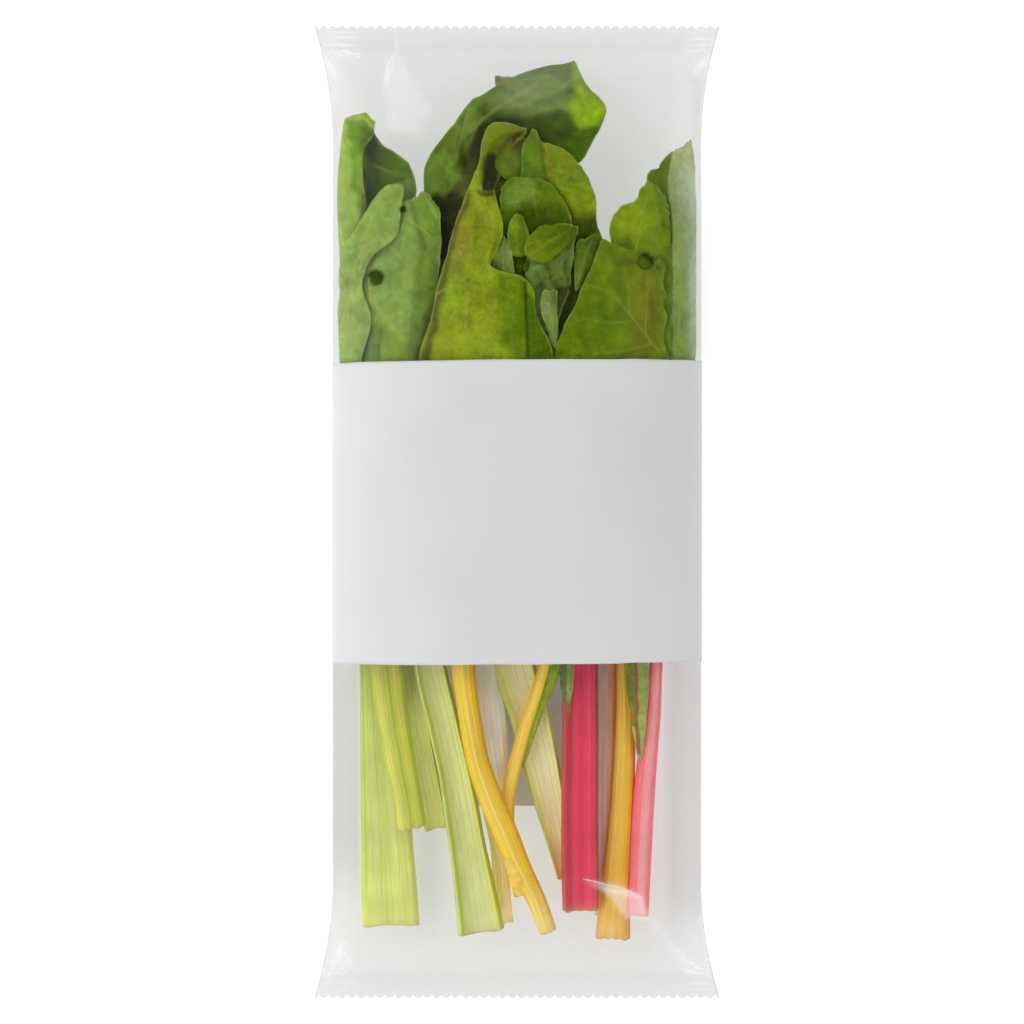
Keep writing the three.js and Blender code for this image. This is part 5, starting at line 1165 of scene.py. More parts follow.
def make_stalk(name, spec, seed, material):
    """A stalk lofted along its path; its points, section and colours are given back for the strings."""
    path = np.array([(*place(x, y, z), z, width, thickness) for x, y, z, width, thickness in spec["path"]])
    t = np.linspace(0, 1, STALK_ROWS)
    line = spline(path[:, :3], t)
    # the widths are spaced as the path's points are, so one spline in the points' own count carries them
    sizes = spline(np.c_[path[:, 3:], np.arange(len(path)) * 30.0], t)[:, :2]
    along = np.gradient(line, axis=0)
    along /= np.linalg.norm(along, axis=1, keepdims=True)
    across = np.stack([along[:, 1], -along[:, 0], np.zeros(len(t))], 1)
    across /= np.linalg.norm(across, axis=1, keepdims=True)
    up = np.cross(across, along)
    section = rounded_section(spec["section"])[::-1]
    angle = np.linspace(0, 2 * np.pi, STALK_ROUND, endpoint=False)
    length = np.concatenate([[0], np.cumsum(np.linalg.norm(np.diff(line, axis=0), axis=1))])
    A, L = np.meshgrid(angle, length)
    # flutes along the stalk, and a slight swelling here and there
    flutes = np.cos(11 * A + 0.4 * ripple(L, L, 20, seed))
    swell = 1 + 0.03 * ripple(6 * np.cos(A) + 9, L, 16.0, seed) + 0.016 * flutes
    s = section[None, :, 0] * swell * sizes[:, :1] / 2
    h = section[None, :, 1] * swell * sizes[:, 1:] / 2
    points = line[:, None] + across[:, None] * s[..., None] + up[:, None] * h[..., None]
    # the cut end is uneven
    cut = 0.7 * ripple(4 * np.cos(angle) + 20, 4 * np.sin(angle) + 20, 1.3, seed + 1)
    points += along[:, None] * (cut[None, :, None] * np.exp(-length / 2.5)[:, None, None])
    # stripes of colour across the stalk, some of them painted highlight and painted shade, mottled along it,
    # faded and bruised at the cut end
    share = np.clip(section[:, 0] / np.abs(section[:, 0]).max(), -1, 1)
    colours = across_colour(spec["across"], share)[None].repeat(len(t), 0)
    tone = 1 + 0.07 * ripple(A * 3, L, 9.0, seed + 2) + 0.05 * ripple(A * 8, L * 0.4, 3.0, seed + 3)
    colours = colours * tone[..., None]
    faded = spec["faded_end"] * np.exp(-((length / 14) ** 2))[:, None, None]
    colours = mix(colours, linear(FADED), faded)
    bruise = np.exp(-length / 1.6)[:, None, None] * 0.55
    colours = mix(colours, linear(BRUISE), bruise)
    # both ends are closed by rings that shrink to the middle, sunk a little
    rings, tones = [points], [colours]
    for row, outward in ((0, -1), (-1, 1)):
        middle = points[row].mean(0)
        for shrink in END_RINGS:
            ring = middle + (points[row] - middle) * shrink
            ring -= along[row] * outward * 0.35 * (1 - shrink)
            pith = mix(colours[row], linear(PITH), 0.45 * (1 - shrink))
            if row == 0:
                rings.insert(0, ring[None])
                tones.insert(0, pith[None])
            else:
                rings.append(ring[None])
                tones.append(pith[None])
    points, colours = np.concatenate(rings), np.concatenate(tones)
    rows = len(points)
    faces = [list(f) for f in grid_faces(rows, STALK_ROUND, wrap=True, flip=True)]
    faces.append(list(range(STALK_ROUND)))
    faces.append([(rows - 1) * STALK_ROUND + k for k in range(STALK_ROUND)][::-1])
    thing = make_mesh(name, points.reshape(-1, 3), faces, material, colours.reshape(-1, 3))
    n = len(END_RINGS)
    lay_uv(thing.data, np.concatenate([np.zeros(n), length, np.full(n, length[-1])]) / UV_LENGTH, rows)
    if spec["of"]:
        ride(thing, spec["of"])
    else:
        ride(thing, name, name)
    return points[n:-n], section, colours[n:-n]


def lay_uv(mesh, far, rows):
    """UVs that run once round a stalk and along it by its length."""
    layer = mesh.uv_layers.new(name="UVMap")
    corners = np.zeros(len(mesh.loops), int)
    mesh.loops.foreach_get("vertex_index", corners)
    row, column = corners // STALK_ROUND, (corners % STALK_ROUND).astype(float)
    for last in range(STALK_ROUND - 1, (rows - 1) * STALK_ROUND, STALK_ROUND):
        for k in mesh.polygons[last].loop_indices:
            if column[k] == 0:
                column[k] = STALK_ROUND
    layer.data.foreach_set("uv", np.stack([column / STALK_ROUND, far[row]], 1).ravel())


# ---------------------------------------------------------------- film

# Creases of the film's front: the bent line each one follows, its half width and its milkiness.
# The milkiness is partly the whitening of creased film and partly painted highlight.
CREASES = [(read(line), half, milk_and_glare) for line, half, milk_and_glare in (
    ("-78 187.9, -70 188, -61 187.7", 0.55, 0.45), ("-77.4 185.9, -69 186, -60 185.8", 0.55, 0.45),
    ("-77 184.2, -68 184.1", 0.5, 0.22), ("-76.6 183, -70 183.2, -62 182.8", 0.6, 0.65),
    ("-75.8 181, -72 179.9, -67.6 180.4, -64.6 179.6, -60 179.5", 0.8, 0.7),
    ("-72 179.6, -69 179, -66.4 179.4", 0.9, 0.5), ("-64 179.2, -61 178.6", 0.8, 0.5),
    ("-75.2 178.6, -72.4 173.6, -69.2 167.4", 1.7, 0.33), ("-71.6 168, -69.8 158", 1.2, 0.12),
    ("-46.6 189, -47.2 183.4, -47.8 180", 0.8, 0.3),
    ("-46.6 181.4, -49 177.6, -50.6 171.6, -51 163", 1.2, 0.45),
    ("-46.4 180.6, -44.2 173, -42.6 166", 1, 0.16), ("63.6 187.9, 79 188", 0.5, 0.2),
    ("66 185.5, 78 185.5", 0.5, 0.4), ("67 183, 77.4 183.2", 0.5, 0.4),
    ("65 180.9, 70 180.8, 75 181", 0.7, 0.34), ("77 180.4, 72.6 175.2, 67.4 169.2", 1.4, 0.5),
    ("73 172, 69.6 165.6, 66.6 158", 1.1, 0.16), ("63.6 181, 62.6 172, 61 160", 1.6, 0.08),
    ("76 181.4, 74 172.5, 72.1 160, 71.2 146", 0.7, 0.4), ("-67.4 -166, -69.6 -172, -73.8 -180", 2, 0.32),
    ("-67.4 -167, -66.6 -173, -64 -179.6", 1.4, 0.2), ("-77 -182.2, -71 -180.8, -64.4 -179.4", 0.9, 0.3),
    ("-78.6 -184.4, -58 -184", 0.5, 0.12), ("-79 -187, -60 -186.8", 0.5, 0.12),
    ("58.4 -168.6, 63.4 -173, 69 -177, 77.6 -182.4", 1.4, 0.4), ("57.8 -168, 67 -175.4", 1.7, 0.3),
    ("64 -178.4, 66.4 -179.8, 77.4 -182.6", 0.9, 0.5), ("66 -184.6, 78 -184.9", 0.5, 0.4),
    ("68 -186.8, 79 -187.2", 0.5, 0.35), ("71.2 -140, 72 -160, 74 -172.5, 76.4 -182", 0.7, 0.35),
    ("50 -155, 60 -170", 2.2, 0.12), ("26 -142, 34 -144.4, 41 -146.2, 48.4 -149.4", 1.7, 0.3),
)]

# Painted glare: milky panes of film beside the creases, where the film mirrors the light: outline, softness
# and milkiness.
GLARE_PANES = [(read(corners), soft, milk_and_glare) for corners, soft, milk_and_glare in (
    ("32 -144.6, 37.2 -150.8, 42.3 -157.4, 51.4 -158.2, 48.6 -149, 43.5 -146.4", 1.4, 0.27),
    ("-48.6 176, -50.8 166, -50.4 148, -36 144, -33 156, -42 170", 5, 0.17),
    ("-68.4 -168, -74 -179.6, -64.6 -179.2", 2.5, 0.13), ("63 -173, 64.4 -179.2, 76 -182", 2, 0.12),
)]

# Sharp folds pinched into the film's front, as bent lines.
FOLDS = [read(line) for line in (
    "25 -141.2, 29.4 -142.2, 35 -143.9, 41 -145.4, 47.4 -148.2", "60 -170.2, 66 -175, 72 -178.6, 77 -182",
    "76.4 179.6, 72.6 175.4, 69 171", "-75.4 180.8, -72 179.8, -68 180.3, -64.6 179.5, -60.6 179.5",
    "-47.4 180.4, -49.2 177, -50.6 171",
)]


def film_rows():
    """Where the film's rings of points stand along Y, closest together in the seals and beside them."""
    seal = np.concatenate([[BAG_END], np.linspace(BAG_END - 1.5, SEAL_INNER, 27)[:-1]])
    throat = SEAL_INNER - np.linspace(0, 40, 38)
    middle = np.linspace(138, 0, 34)[1:]
    half = np.concatenate([seal, throat, middle])
    return np.concatenate([-half, half[-2::-1]])


def creases_and_painted_glare(x, y):
    """How milky the creases, and the painted glare of the panes, make the film's front; each crease is
    pointed at both ends.
    """
    haze = np.zeros(np.shape(x))
    for line, width, milk_and_glare in CREASES:
        far, share = nearest_on_line(x, y, line)
        taper = np.sin(np.pi * np.clip(share, 0.02, 0.98)) ** 0.7
        haze = np.maximum(haze, milk_and_glare * taper * np.exp(-(far / (width * (0.4 + 0.6 * taper))) ** 2))
    for corners, soft, milk_and_glare in GLARE_PANES:
        haze = haze + milk_and_glare * area_weight(x, y, corners, soft)
    return haze


def film_painted_shade(x, y):
    """Painted shade: how much the film's front darkens what is behind it, along its sides, its seals and
    between stalks 1 and 4.
    """
    left = 0.21 * smooth((-58.5 - x) / 4) * smooth((y + 165) / 42) * smooth((-40 - y) / 10)
    right = 0.17 * smooth((x - 55) / 6) * smooth((y + 172) / 30) * smooth((-40 - y) / 10)
    upper = 0.08 * smooth((x - 66) / 3) * smooth((y - 60) / 10) * smooth((176 - y) / 8)
    between = 0.12 * np.exp(-((x + 33) / 7) ** 2 - ((y + 138) / 22) ** 2)
    return left + right + upper + between + 0.05 * smooth((np.abs(y) - SEAL_INNER) / 5)


# Painted glare: where the front of the film is made a little milky for the light it mirrors: middle, reach
# and milkiness.
PAINTED_GLARE = (
    (-64, 74, 12, 44, 0.02), (-58, 20, 24, 400, 0.008), (68, 128, 6, 24, 0.16), (68.6, 84, 2.6, 46, 0.2),
    (4, 160, 14, 7, 0.05), (-44, -110, 18, 60, 0.03), (62, -120, 16, 50, 0.02), (-8, -100, 10, 40, 0.015),
    (-18, -172, 60, 12, 0.02),
)


def front_height(x, y, haze):
    """The film's front: its smooth form with slack between the seals, flat where the band holds it."""
    ends = np.exp(-np.maximum(0.0, SEAL_INNER - np.abs(y)) / 30)
    slack = (0.55 * ends + 0.12) * (ripple(x, y, 17, 5) + 0.5 * ripple(x * 1.7, y * 0.5, 9, 6))
    seal_fade = smooth((SEAL_INNER - np.abs(y)) / 6)
    rise = (0.12 * haze + slack) * seal_fade * smooth((1 - np.abs(x) / half_width(y)) * 9)
    rise = rise * (1 - smooth((BAND_TO + 6 - np.abs(y)) / 6))
    return np.minimum(top_of(x, y) + rise - 0.3 * seal_fade, LEAF_END_HEIGHT + 0.6)


def make_folds(material):
    """Thin ridges along the film's sharp folds, pointed at both ends."""
    lines, steps = [], 40
    for line in FOLDS:
        path = flat_spline(line, np.linspace(0, 1, steps))
        lift = front_height(path[:, 0], path[:, 1], 0.3) + 0.1
        taper = np.sin(np.pi * np.linspace(0.02, 0.98, steps)) ** 0.6
        lines.append((np.c_[path, lift], taper, (240, 240, 240)))
    ride(ridges("film_folds", lines, FOLD_GIRTH, material), "film_bag")


def fold_material():
    """Film pinched into a sharp fold: milky, and bright as a painted highlight."""
    n = Nodes("film_fold")
    speck = n.noise(n.place(), 420.0, 3.0)
    white = n.add("BsdfPrincipled", {"Base Color": (0.95, 0.95, 0.95), "Roughness": 0.35,
                                     "Normal": n.bump(speck, 0.3, 0.0002)})
    share = n.span(speck, 0.3, 0.7, 0.14, 0.38)
    return n.finish(n.mixed(share, n.add("BsdfTransparent"), white))


def make_film(settings):
    """The bag: one ring of points for each row, over the front from right to left and back underneath."""
    rows = film_rows()
    columns = 4 * TEETH
    even = np.linspace(-1, 1, columns + 1)
    saw = np.array([0.0, 0.2, 1.0, 0.2])[np.arange(columns + 1) % 4]
    points, milk_and_glare, dim = [], [], []
    for k, y in enumerate(rows):
        open_share = float(opening(y, TOP_REACH))
        share = mix(even, np.sin(np.pi / 2 * even), open_share)
        x = share * half_width(y)
        along = np.full_like(x, y)
        haze = creases_and_painted_glare(x, along)
        over, under = front_height(x, along, haze), bottom_of(x, y)
        crimp_wave = math.sin(2 * math.pi * (abs(y) - SEAL_INNER) / settings.crimp_pitch)
        # in the seals the front and the back are pressed together in ribs
        if abs(y) > SEAL_INNER - 0.01:
            corner = 0.15 + 0.85 * smooth((np.abs(x) - 58) / 14)
            crimp = CRIMP_HEIGHT * corner * crimp_wave
            over = SEAL_HEIGHT + SEAL_HALF + crimp
            under = SEAL_HEIGHT - SEAL_HALF + crimp
        # the zigzag cut at both ends, and the seam that laps along the back
        tooth = TOOTH_DEPTH * saw if k in (0, len(rows) - 1) else 0.0
        lap = smooth((x - SEAM_FROM) / 0.8) * smooth((SEAM_TO - x) / 0.8) * smooth((SEAL_INNER - abs(y)) / 4)
        under = under + SEAM_RISE * lap
        yy = y - np.sign(y) * tooth + 0 * x
        points.append(np.concatenate([np.stack([x, yy, over], 1)[::-1], np.stack([x, yy, under], 1)[1:-1]]))
        for mx, my, wide, high, amount in PAINTED_GLARE:
            haze = haze + amount * np.exp(-((x - mx) / wide) ** 2 - ((y - my) / high) ** 2)
        # painted highlight along the film's side edges; in the seals some milkiness of the pressed film, with
        # painted highlight on the crests of the ribs
        edge_painted_highlight = 0.05 * np.exp(-((1 - np.abs(share)) * 30) ** 2)
        seal_haze_and_highlight = 0.03 * (1 - smooth((SEAL_INNER - abs(y)) / 6))
        if abs(y) > SEAL_INNER:
            seal_haze_and_highlight = seal_haze_and_highlight + 0.04 * (0.5 + 0.5 * crimp_wave) * smooth((np.abs(x) - 56) / 16)
        over_milk_and_glare, under_milk_and_glare = haze + edge_painted_highlight + seal_haze_and_highlight, 0.3 * edge_painted_highlight + seal_haze_and_highlight
        milk_and_glare.append(np.concatenate([over_milk_and_glare[::-1], under_milk_and_glare[1:-1]]))
        dim.append(np.concatenate([film_painted_shade(x, along)[::-1], 0 * x[1:-1]]))
    count = len(points[0])
    points, milk_and_glare, dim = np.concatenate(points), np.concatenate(milk_and_glare), np.concatenate(dim)
    faces = [list(f) for f in grid_faces(len(rows), count, wrap=True, flip=True)]
    # each cut end is closed between front and back, by quads and by a triangle at each side
    for base, flip in ((0, False), ((len(rows) - 1) * count, True)):
        for j in range(columns):
            corners = [base + j, base + j + 1, base + count - j - 1, base + (count - j) % count]
            corners = list(dict.fromkeys(corners))
            faces.append(corners[::-1] if flip else corners)
    thing = make_mesh("film", points, faces, film_material(settings), values={"haze": milk_and_glare, "dim": dim})
    punch_vents(thing)
    ride(thing, "film_bag", "film_bag")
    make_folds(fold_material())


def punch_vents(thing):
    """Cuts the round vent holes through the film's front, where its mesh is first made finer."""
    bm = bmesh.new()
    bm.from_mesh(thing.data)
    for cx, cy in VENTS:

        def far(point):
            return math.hypot(point.x / MM - cx, point.y / MM - cy)

        for reach in (6.5, 5.0):
            near = [f for f in bm.faces if f.normal.z > 0.2 and far(f.calc_center_median()) < reach]
            edges = list({e for f in near for e in f.edges})
            bmesh.ops.subdivide_edges(bm, edges=edges, cuts=1, use_grid_fill=True)
        front = [f for f in bm.faces if f.normal.z > 0.2]
        inside = [f for f in front if all(far(v.co) < VENT_RADIUS + 0.25 for v in f.verts)]
        bmesh.ops.delete(bm, geom=inside, context="FACES")
        for v in bm.verts:
            d = far(v.co)
            if v.is_boundary and d < VENT_RADIUS + 2:
                v.co.x = (cx + (v.co.x / MM - cx) * VENT_RADIUS / d) * MM
                v.co.y = (cy + (v.co.y / MM - cy) * VENT_RADIUS / d) * MM
    bmesh.ops.triangulate(bm, faces=[f for f in bm.faces if len(f.verts) > 4])
    bm.to_mesh(thing.data)
    bm.free()


# ---------------------------------------------------------------- band and label


def make_band(settings):
    """The band: a strip round the bag's front that ends a little way under each side."""
    rows, columns = 66, 130
    under = math.acos(BAND_WRAP)
    angle = np.linspace(-under, math.pi + under, columns)
    angle, row = np.meshgrid(angle, np.linspace(0, 1, rows))
    y = mix(BAND_FROM, BAND_TO, row) + BAND_SKEW * np.cos(angle) * BAG_HALF_WIDTH
    y = y + 0.12 * ripple(angle * 20, row * 0, 3.0, 61) * (np.abs(2 * row - 1) ** 8)
    x = np.cos(angle) * half_width(y)
    z = np.where(np.sin(angle) > -1e-9, top_of(x, y), bottom_of(x, y))
    line = np.stack([x, y, z], -1)
    tangent = np.gradient(line, axis=1)
    out = np.stack([tangent[..., 2], np.zeros(x.shape), -tangent[..., 0]], -1)
    out /= np.linalg.norm(out, axis=2, keepdims=True)
    cockle = 0.16 * ripple(x, y, 26, 62) + 0.07 * ripple(x, y * 0.5, 9, 63)
    gap = mix(0.08, 0.36, smooth(np.abs(np.sin(angle)) * 2)) + cockle * smooth(np.sin(angle) * 2)
    outer = line + out * (gap + BAND_THICKNESS)[..., None]
    inner = line + out * gap[..., None]
    skin = band_material(tuple(settings.band_colour), settings.band_roughness)
    ride(make_mesh("band", *slab(outer, inner, flip=True), skin), "front_band", "front_band")


def back_label_material(colour):
    """Thin white paper: the light of the table shows through it a little."""
    n = Nodes("white_back")
    where = n.place()
    fibres = n.noise(where, 260.0, 5.0, 0.65)
    shade = n.span(fibres, 0.3, 0.7, 0.95, 1.02)
    tone = n.shaded(colour, shade)
    face = n.add("BsdfPrincipled", {"Base Color": tone, "Roughness": 0.6, "Specular IOR Level": 0.2,
                                    "Normal": n.bump(fibres, 0.15, 0.0002)})
    glow = n.add("BsdfTranslucent", {"Color": tone})
    return n.finish(n.mixed(0.4, face, glow))


def make_back_label(settings):
    """The label under the bag, slightly cockled."""
    Y, X = np.meshgrid(np.linspace(*LABEL_Y, 100), np.linspace(*LABEL_X, 60), indexing="ij")
    over = np.stack([X, Y, LABEL_TOP + 0.06 * ripple(X, Y, 22, 71)], -1)
    under = np.stack([X, Y, np.full(X.shape, 0.02)], -1)
    skin = back_label_material(tuple(settings.label_colour))
    ride(make_mesh("back_panel", *slab(over, under), skin), "back_label", "back_label")


# ---------------------------------------------------------------- stage


def make_light_tent(settings):
    """A white tent of light with a dim roof above the lens, a little brighter from one side."""
    scene = bpy.context.scene
    world = scene.world or bpy.data.worlds.new("studio")
    scene.world = world
    n = Nodes("studio", world)
    towards = n.add("TexCoord").outputs["Generated"]
    height = n.add("SeparateXYZ", {0: towards}).outputs["Z"]
    eaves, ridge = math.cos(math.radians(34)), math.cos(math.radians(14))
    soft = {"interpolation_type": "SMOOTHSTEP"}
    roof = n.span(height, eaves, ridge, settings.wall_light, settings.roof_light, **soft)
    side = n.add("VectorMath", {0: towards, 1: (-0.8, -0.3, 0.1)}, operation="DOT_PRODUCT").outputs["Value"]
    lean = n.add("Math", {0: side, 1: settings.lean, 2: 1.0}, operation="MULTIPLY_ADD").outputs[0]
    aim = math.radians(50)
    box = (-0.94 * math.sin(aim), 0.34 * math.sin(aim), math.cos(aim))
    near = n.add("VectorMath", {0: towards, 1: box}, operation="DOT_PRODUCT").outputs["Value"]
    lobe = n.span(near, 0.86, 0.95, 0.0, settings.box_light, **soft)
    power = n.math("ADD", n.math("MULTIPLY", roof, lean), lobe)
    n.finish(n.add("Background", {0: (1.0, 1.0, 1.0), 1: power}))


def make_stage(settings):
    """The lit table, the light tent and the camera straight above."""
    n = Nodes("pale_floor")
    speck = n.noise(n.place(), 300.0, 3.0)
    shade = n.span(speck, 0.3, 0.7, 0.54, 0.56)
    skin = n.add("BsdfPrincipled", {
        "Base Color": n.grey(shade),
        "Roughness": 0.8, "Specular IOR Level": 0.1, "Emission Color": (1.0, 1.0, 1.0),
        "Emission Strength": settings.table_light})
    size, level = 2500.0, -0.05
    corners = [(-size, -size, level), (size, -size, level), (size, size, level), (-size, size, level)]
    floor = make_mesh("floor", corners, [(0, 1, 2, 3)], n.finish(skin))
    make_light_tent(settings)
    scene = bpy.context.scene
    scene.view_settings.view_transform = "Standard"
    scene.view_settings.look = "None"
    camera = bpy.data.cameras.new("camera")
    camera.lens, camera.sensor_width = 100.0, 36.0
    camera.clip_start, camera.clip_end = 0.05, 20.0
    eye = bpy.data.objects.new("camera", camera)
    scene.collection.objects.link(eye)
    eye.location = (-1.96 * MM, 0.0, (EYE_HEIGHT + SEAL_HEIGHT) * MM)
    scene.camera = eye


# ---------------------------------------------------------------- veins and strings

VEIN_STEP = 2.2
VEIN_REACH = 3.0  # a vein's point is left out where the blade is further away than this
VEIN_SINK, STRING_SINK = 0.12, 0.1  # how deep the middle of a ridge lies in the surface


def surface_line(grid, line, window):
    """A bent line of the plan, laid on a blade's upper face as points in mm."""
    px, py, points, V = grid
    usable = (V >= window[0]) & (V <= window[1])
    length = sum(math.dist(a, b) for a, b in zip(line[:-1], line[1:]))
    steps = max(6, int(length / VEIN_STEP))
    path = flat_spline(line, np.linspace(0, 1, steps))
    where = []
    for x, y in path:
        far = np.where(usable, np.hypot(px - x, py - y), 1e9)
        i, j = np.unravel_index(np.argmin(far), far.shape)
        if far[i, j] < VEIN_REACH:
            where.append((i, j))
    if len(where) < 4:
        return None
    where = np.array(where, float)
    for _ in range(3):
        where[1:-1] = (where[:-2] + 2 * where[1:-1] + where[2:]) / 4
    where = flat_spline(where, np.linspace(0, 1, 3 * steps))
    i = np.clip(where[:, 0], 0, px.shape[0] - 1.001)
    j = np.clip(where[:, 1], 0, px.shape[1] - 1.001)
    a, b = i.astype(int), j.astype(int)
    u, v = (i - a)[:, None], (j - b)[:, None]
    return mix(mix(points[a, b], points[a + 1, b], u), mix(points[a, b + 1], points[a + 1, b + 1], u), v)


def make_veins(name, grid, spec, material, girth, slot):
    """Raised veins on a blade, each tapering towards its end."""
    lines = []
    for line, width, window in spec["veins"]:
        laid = surface_line(grid, line, window)
        if laid is None:
            continue
        t = np.linspace(0, 1, len(laid))
        taper = width * (1 - 0.75 * t) * smooth(t * 12 + 0.2) * smooth((1 - t) * 10 + 0.1)
        colour = mix(np.array(spec["tint"], float), np.array(PALE_VEIN, float), 0.42)
        lines.append((laid - (0, 0, VEIN_SINK), taper, colour))
    if not lines:
        raise RuntimeError(name + ": no vein lies on the blade")
    ride(ridges(name, lines, girth, material), slot)


def make_strings(name, points, section, colours, material, slot):
    """Raised strings along a stalk's upper face."""
    upper = [k for k in range(STALK_ROUND) if section[k, 1] > 0.1]
    upper.sort(key=lambda k: section[k, 0])
    lines = []
    for number, k in enumerate(upper[2:-2:4]):
        start, stop = 3 + 5 * (number % 3), STALK_ROWS - 20 - 7 * (number % 4)
        line = points[start:stop:3, k] - (0, 0, STRING_SINK)
        t = np.linspace(0, 1, len(line))
        colour = 255 * np.clip(np.mean(colours[20:60, k], 0), 0, 1) ** (1 / 2.2)
        colour = colour * (0.985 if number % 2 else 1.03)
        lines.append((line, smooth(t * 8 + 0.1) * smooth((1 - t) * 8 + 0.1), colour))
    ride(ridges("strings" + name[5:], lines, STRING_GIRTH, material, sides=5, step=2.4), slot)


# ---------------------------------------------------------------- settings, operators and panel


class ChardFilmSettings(bpy.types.PropertyGroup):
    film_haze: bpy.props.FloatProperty(
        name="Haze", description="How milky the plain film is", default=0.001, min=0, max=0.5,
        subtype="FACTOR")
    film_tint: bpy.props.FloatVectorProperty(
        name="Film tint", description="What the film lets through", default=(0.85, 0.851, 0.847), size=3,
        min=0, max=1, subtype="COLOR")
    film_shine: bpy.props.FloatProperty(
        name="Shine", description="How much the film mirrors when seen straight on", default=0.006, min=0,
        max=1, subtype="FACTOR")
    crimp_pitch: bpy.props.FloatProperty(
        name="Crimp pitch", description="Spacing of the ribs pressed into the end seals, in millimetres",
        default=2.0, min=0.5)
    band_colour: bpy.props.FloatVectorProperty(
        name="Band", description="Colour of the front band", default=(0.6, 0.605, 0.61), size=3, min=0, max=1,
        subtype="COLOR")
    band_roughness: bpy.props.FloatProperty(
        name="Band roughness", description="How matt the front band is", default=0.4, min=0, max=1,
        subtype="FACTOR")
    label_colour: bpy.props.FloatVectorProperty(
        name="Back label", description="Colour of the back label", default=(0.96, 0.93, 0.88), size=3,
        min=0, max=1, subtype="COLOR")


class ChardLeafSettings(bpy.types.PropertyGroup):
    crinkle: bpy.props.FloatProperty(
        name="Crinkle", description="How strongly the blades are puckered", default=1.0, min=0.0, max=2.0)
    vein_girth: bpy.props.FloatProperty(
        name="Vein girth", description="Radius of the thickest raised veins, in millimetres", default=0.3,
        min=0.05)


class ChardStageSettings(bpy.types.PropertyGroup):
    wall_light: bpy.props.FloatProperty(
        name="Walls", description="Brightness of the light tent's walls", default=1.2, min=0.0)
    box_light: bpy.props.FloatProperty(
        name="Softbox", description="Brightness of the softbox at the upper left", default=0.8, min=0.0)
    roof_light: bpy.props.FloatProperty(
        name="Roof", description="Brightness of the light tent's roof, which flat film mirrors",
        default=0.12, min=0.0)
    table_light: bpy.props.FloatProperty(
        name="Table", description="Brightness of the lit table under the bag", default=0.65, min=0.0)
    lean: bpy.props.FloatProperty(
        name="Lean", description="How much brighter the left side is", default=0.35, min=0.0, max=1.0)


class CHARD_OT_stage(bpy.types.Operator):
    """Add the floor, the lights and the camera"""
    bl_idname = "chard.stage"
    bl_label = "Stage"

    def execute(self, context):
        make_stage(context.scene.chard_stage)
        return {"FINISHED"}


class CHARD_OT_film(bpy.types.Operator):
    """Make the clear bag with its ribbed seals, vents and lap seam"""
    bl_idname = "chard.film"
    bl_label = "Film bag"

    def execute(self, context):
        make_film(context.scene.chard_film)
        return {"FINISHED"}


class CHARD_OT_band(bpy.types.Operator):
    """Make the white front band and the back label"""
    bl_idname = "chard.band"
    bl_label = "Band and label"

    def execute(self, context):
        make_band(context.scene.chard_film)
        make_back_label(context.scene.chard_film)
        return {"FINISHED"}


class CHARD_OT_stalks(bpy.types.Operator):
    """Make the coloured stalks and the strings along them"""
    bl_idname = "chard.stalks"
    bl_label = "Stalks"

    def execute(self, context):
        skin, cord = stalk_material(), cord_material("stalk_strings")
        for seed, (name, spec) in enumerate(STALKS.items()):
            points, section, colours = make_stalk(name, spec, 100 + 10 * seed, skin)
            make_strings(name, points, section, colours, cord, spec["of"] or name)
        return {"FINISHED"}


class CHARD_OT_blades(bpy.types.Operator):
    """Make the leaf blades and the raised veins on them"""
    bl_idname = "chard.blades"
    bl_label = "Leaf blades"

    def execute(self, context):
        skin, cord = leaf_material(), cord_material("leaf_veins")
        settings = context.scene.chard_leaf
        for seed, (name, spec) in enumerate(BLADES.items()):
            number = name.removeprefix("blade")
            grid = make_blade("leaf" + number, spec, 300 + 20 * seed, skin, settings.crinkle, name, (name,))
            make_veins("veins" + number, grid, spec, cord, settings.vein_girth, name)
        return {"FINISHED"}


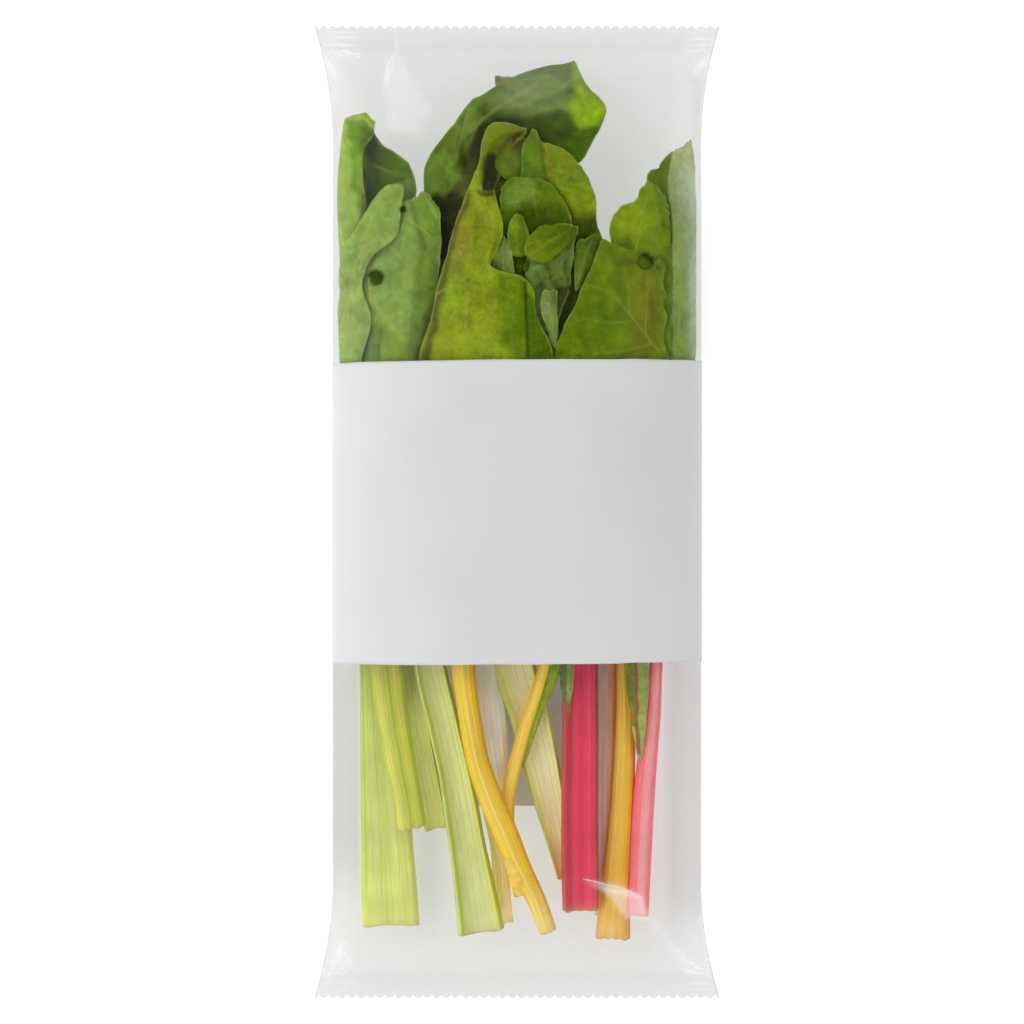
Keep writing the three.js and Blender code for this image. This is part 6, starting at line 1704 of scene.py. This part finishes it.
class CHARD_OT_bits(bpy.types.Operator):
    """Make the small leaf pieces between the blades and along the stalks"""
    bl_idname = "chard.bits"
    bl_label = "Small leaf pieces"

    def execute(self, context):
        cord = bpy.data.materials["leaf_veins"]
        settings = context.scene.chard_leaf
        for seed, (name, spec) in enumerate(BITS.items()):
            skin, slot = bpy.data.materials[spec.get("skin", "chard_leaf")], spec["of"]
            size = (BIT_ROWS, BIT_COLUMNS)
            grid = make_blade(name, spec, 700 + 20 * seed, skin, settings.crinkle, slot, size=size)
            make_veins("veins_" + name, grid, spec, cord, settings.vein_girth, slot)
        return {"FINISHED"}


OPERATORS = (CHARD_OT_stage, CHARD_OT_film, CHARD_OT_band, CHARD_OT_stalks, CHARD_OT_blades, CHARD_OT_bits)


class CHARD_PT_panel(bpy.types.Panel):
    """Lists the pieces of the chard bunch"""
    bl_label = "Chard bunch"
    bl_idname = "CHARD_PT_panel"
    bl_space_type = "VIEW_3D"
    bl_region_type = "UI"
    bl_category = "Chard"

    def draw(self, context):
        for group in (context.scene.chard_film, context.scene.chard_leaf, context.scene.chard_stage):
            box = self.layout.box()
            for name in group.bl_rna.properties.keys():
                if name not in ("rna_type", "name"):
                    box.prop(group, name)
        for operator in OPERATORS:
            self.layout.operator(operator.bl_idname)


CLASSES = (ChardFilmSettings, ChardLeafSettings, ChardStageSettings, *OPERATORS, CHARD_PT_panel)


def register():
    for cls in CLASSES:
        bpy.utils.register_class(cls)
    bpy.types.Scene.chard_film = bpy.props.PointerProperty(type=ChardFilmSettings)
    bpy.types.Scene.chard_leaf = bpy.props.PointerProperty(type=ChardLeafSettings)
    bpy.types.Scene.chard_stage = bpy.props.PointerProperty(type=ChardStageSettings)


def unregister():
    del bpy.types.Scene.chard_film, bpy.types.Scene.chard_leaf, bpy.types.Scene.chard_stage
    for cls in reversed(CLASSES):
        bpy.utils.unregister_class(cls)


def main():
    register()
    for operator in OPERATORS:
        category, name = operator.bl_idname.split(".")
        getattr(getattr(bpy.ops, category), name)()


if __name__ == "__main__":
    main()
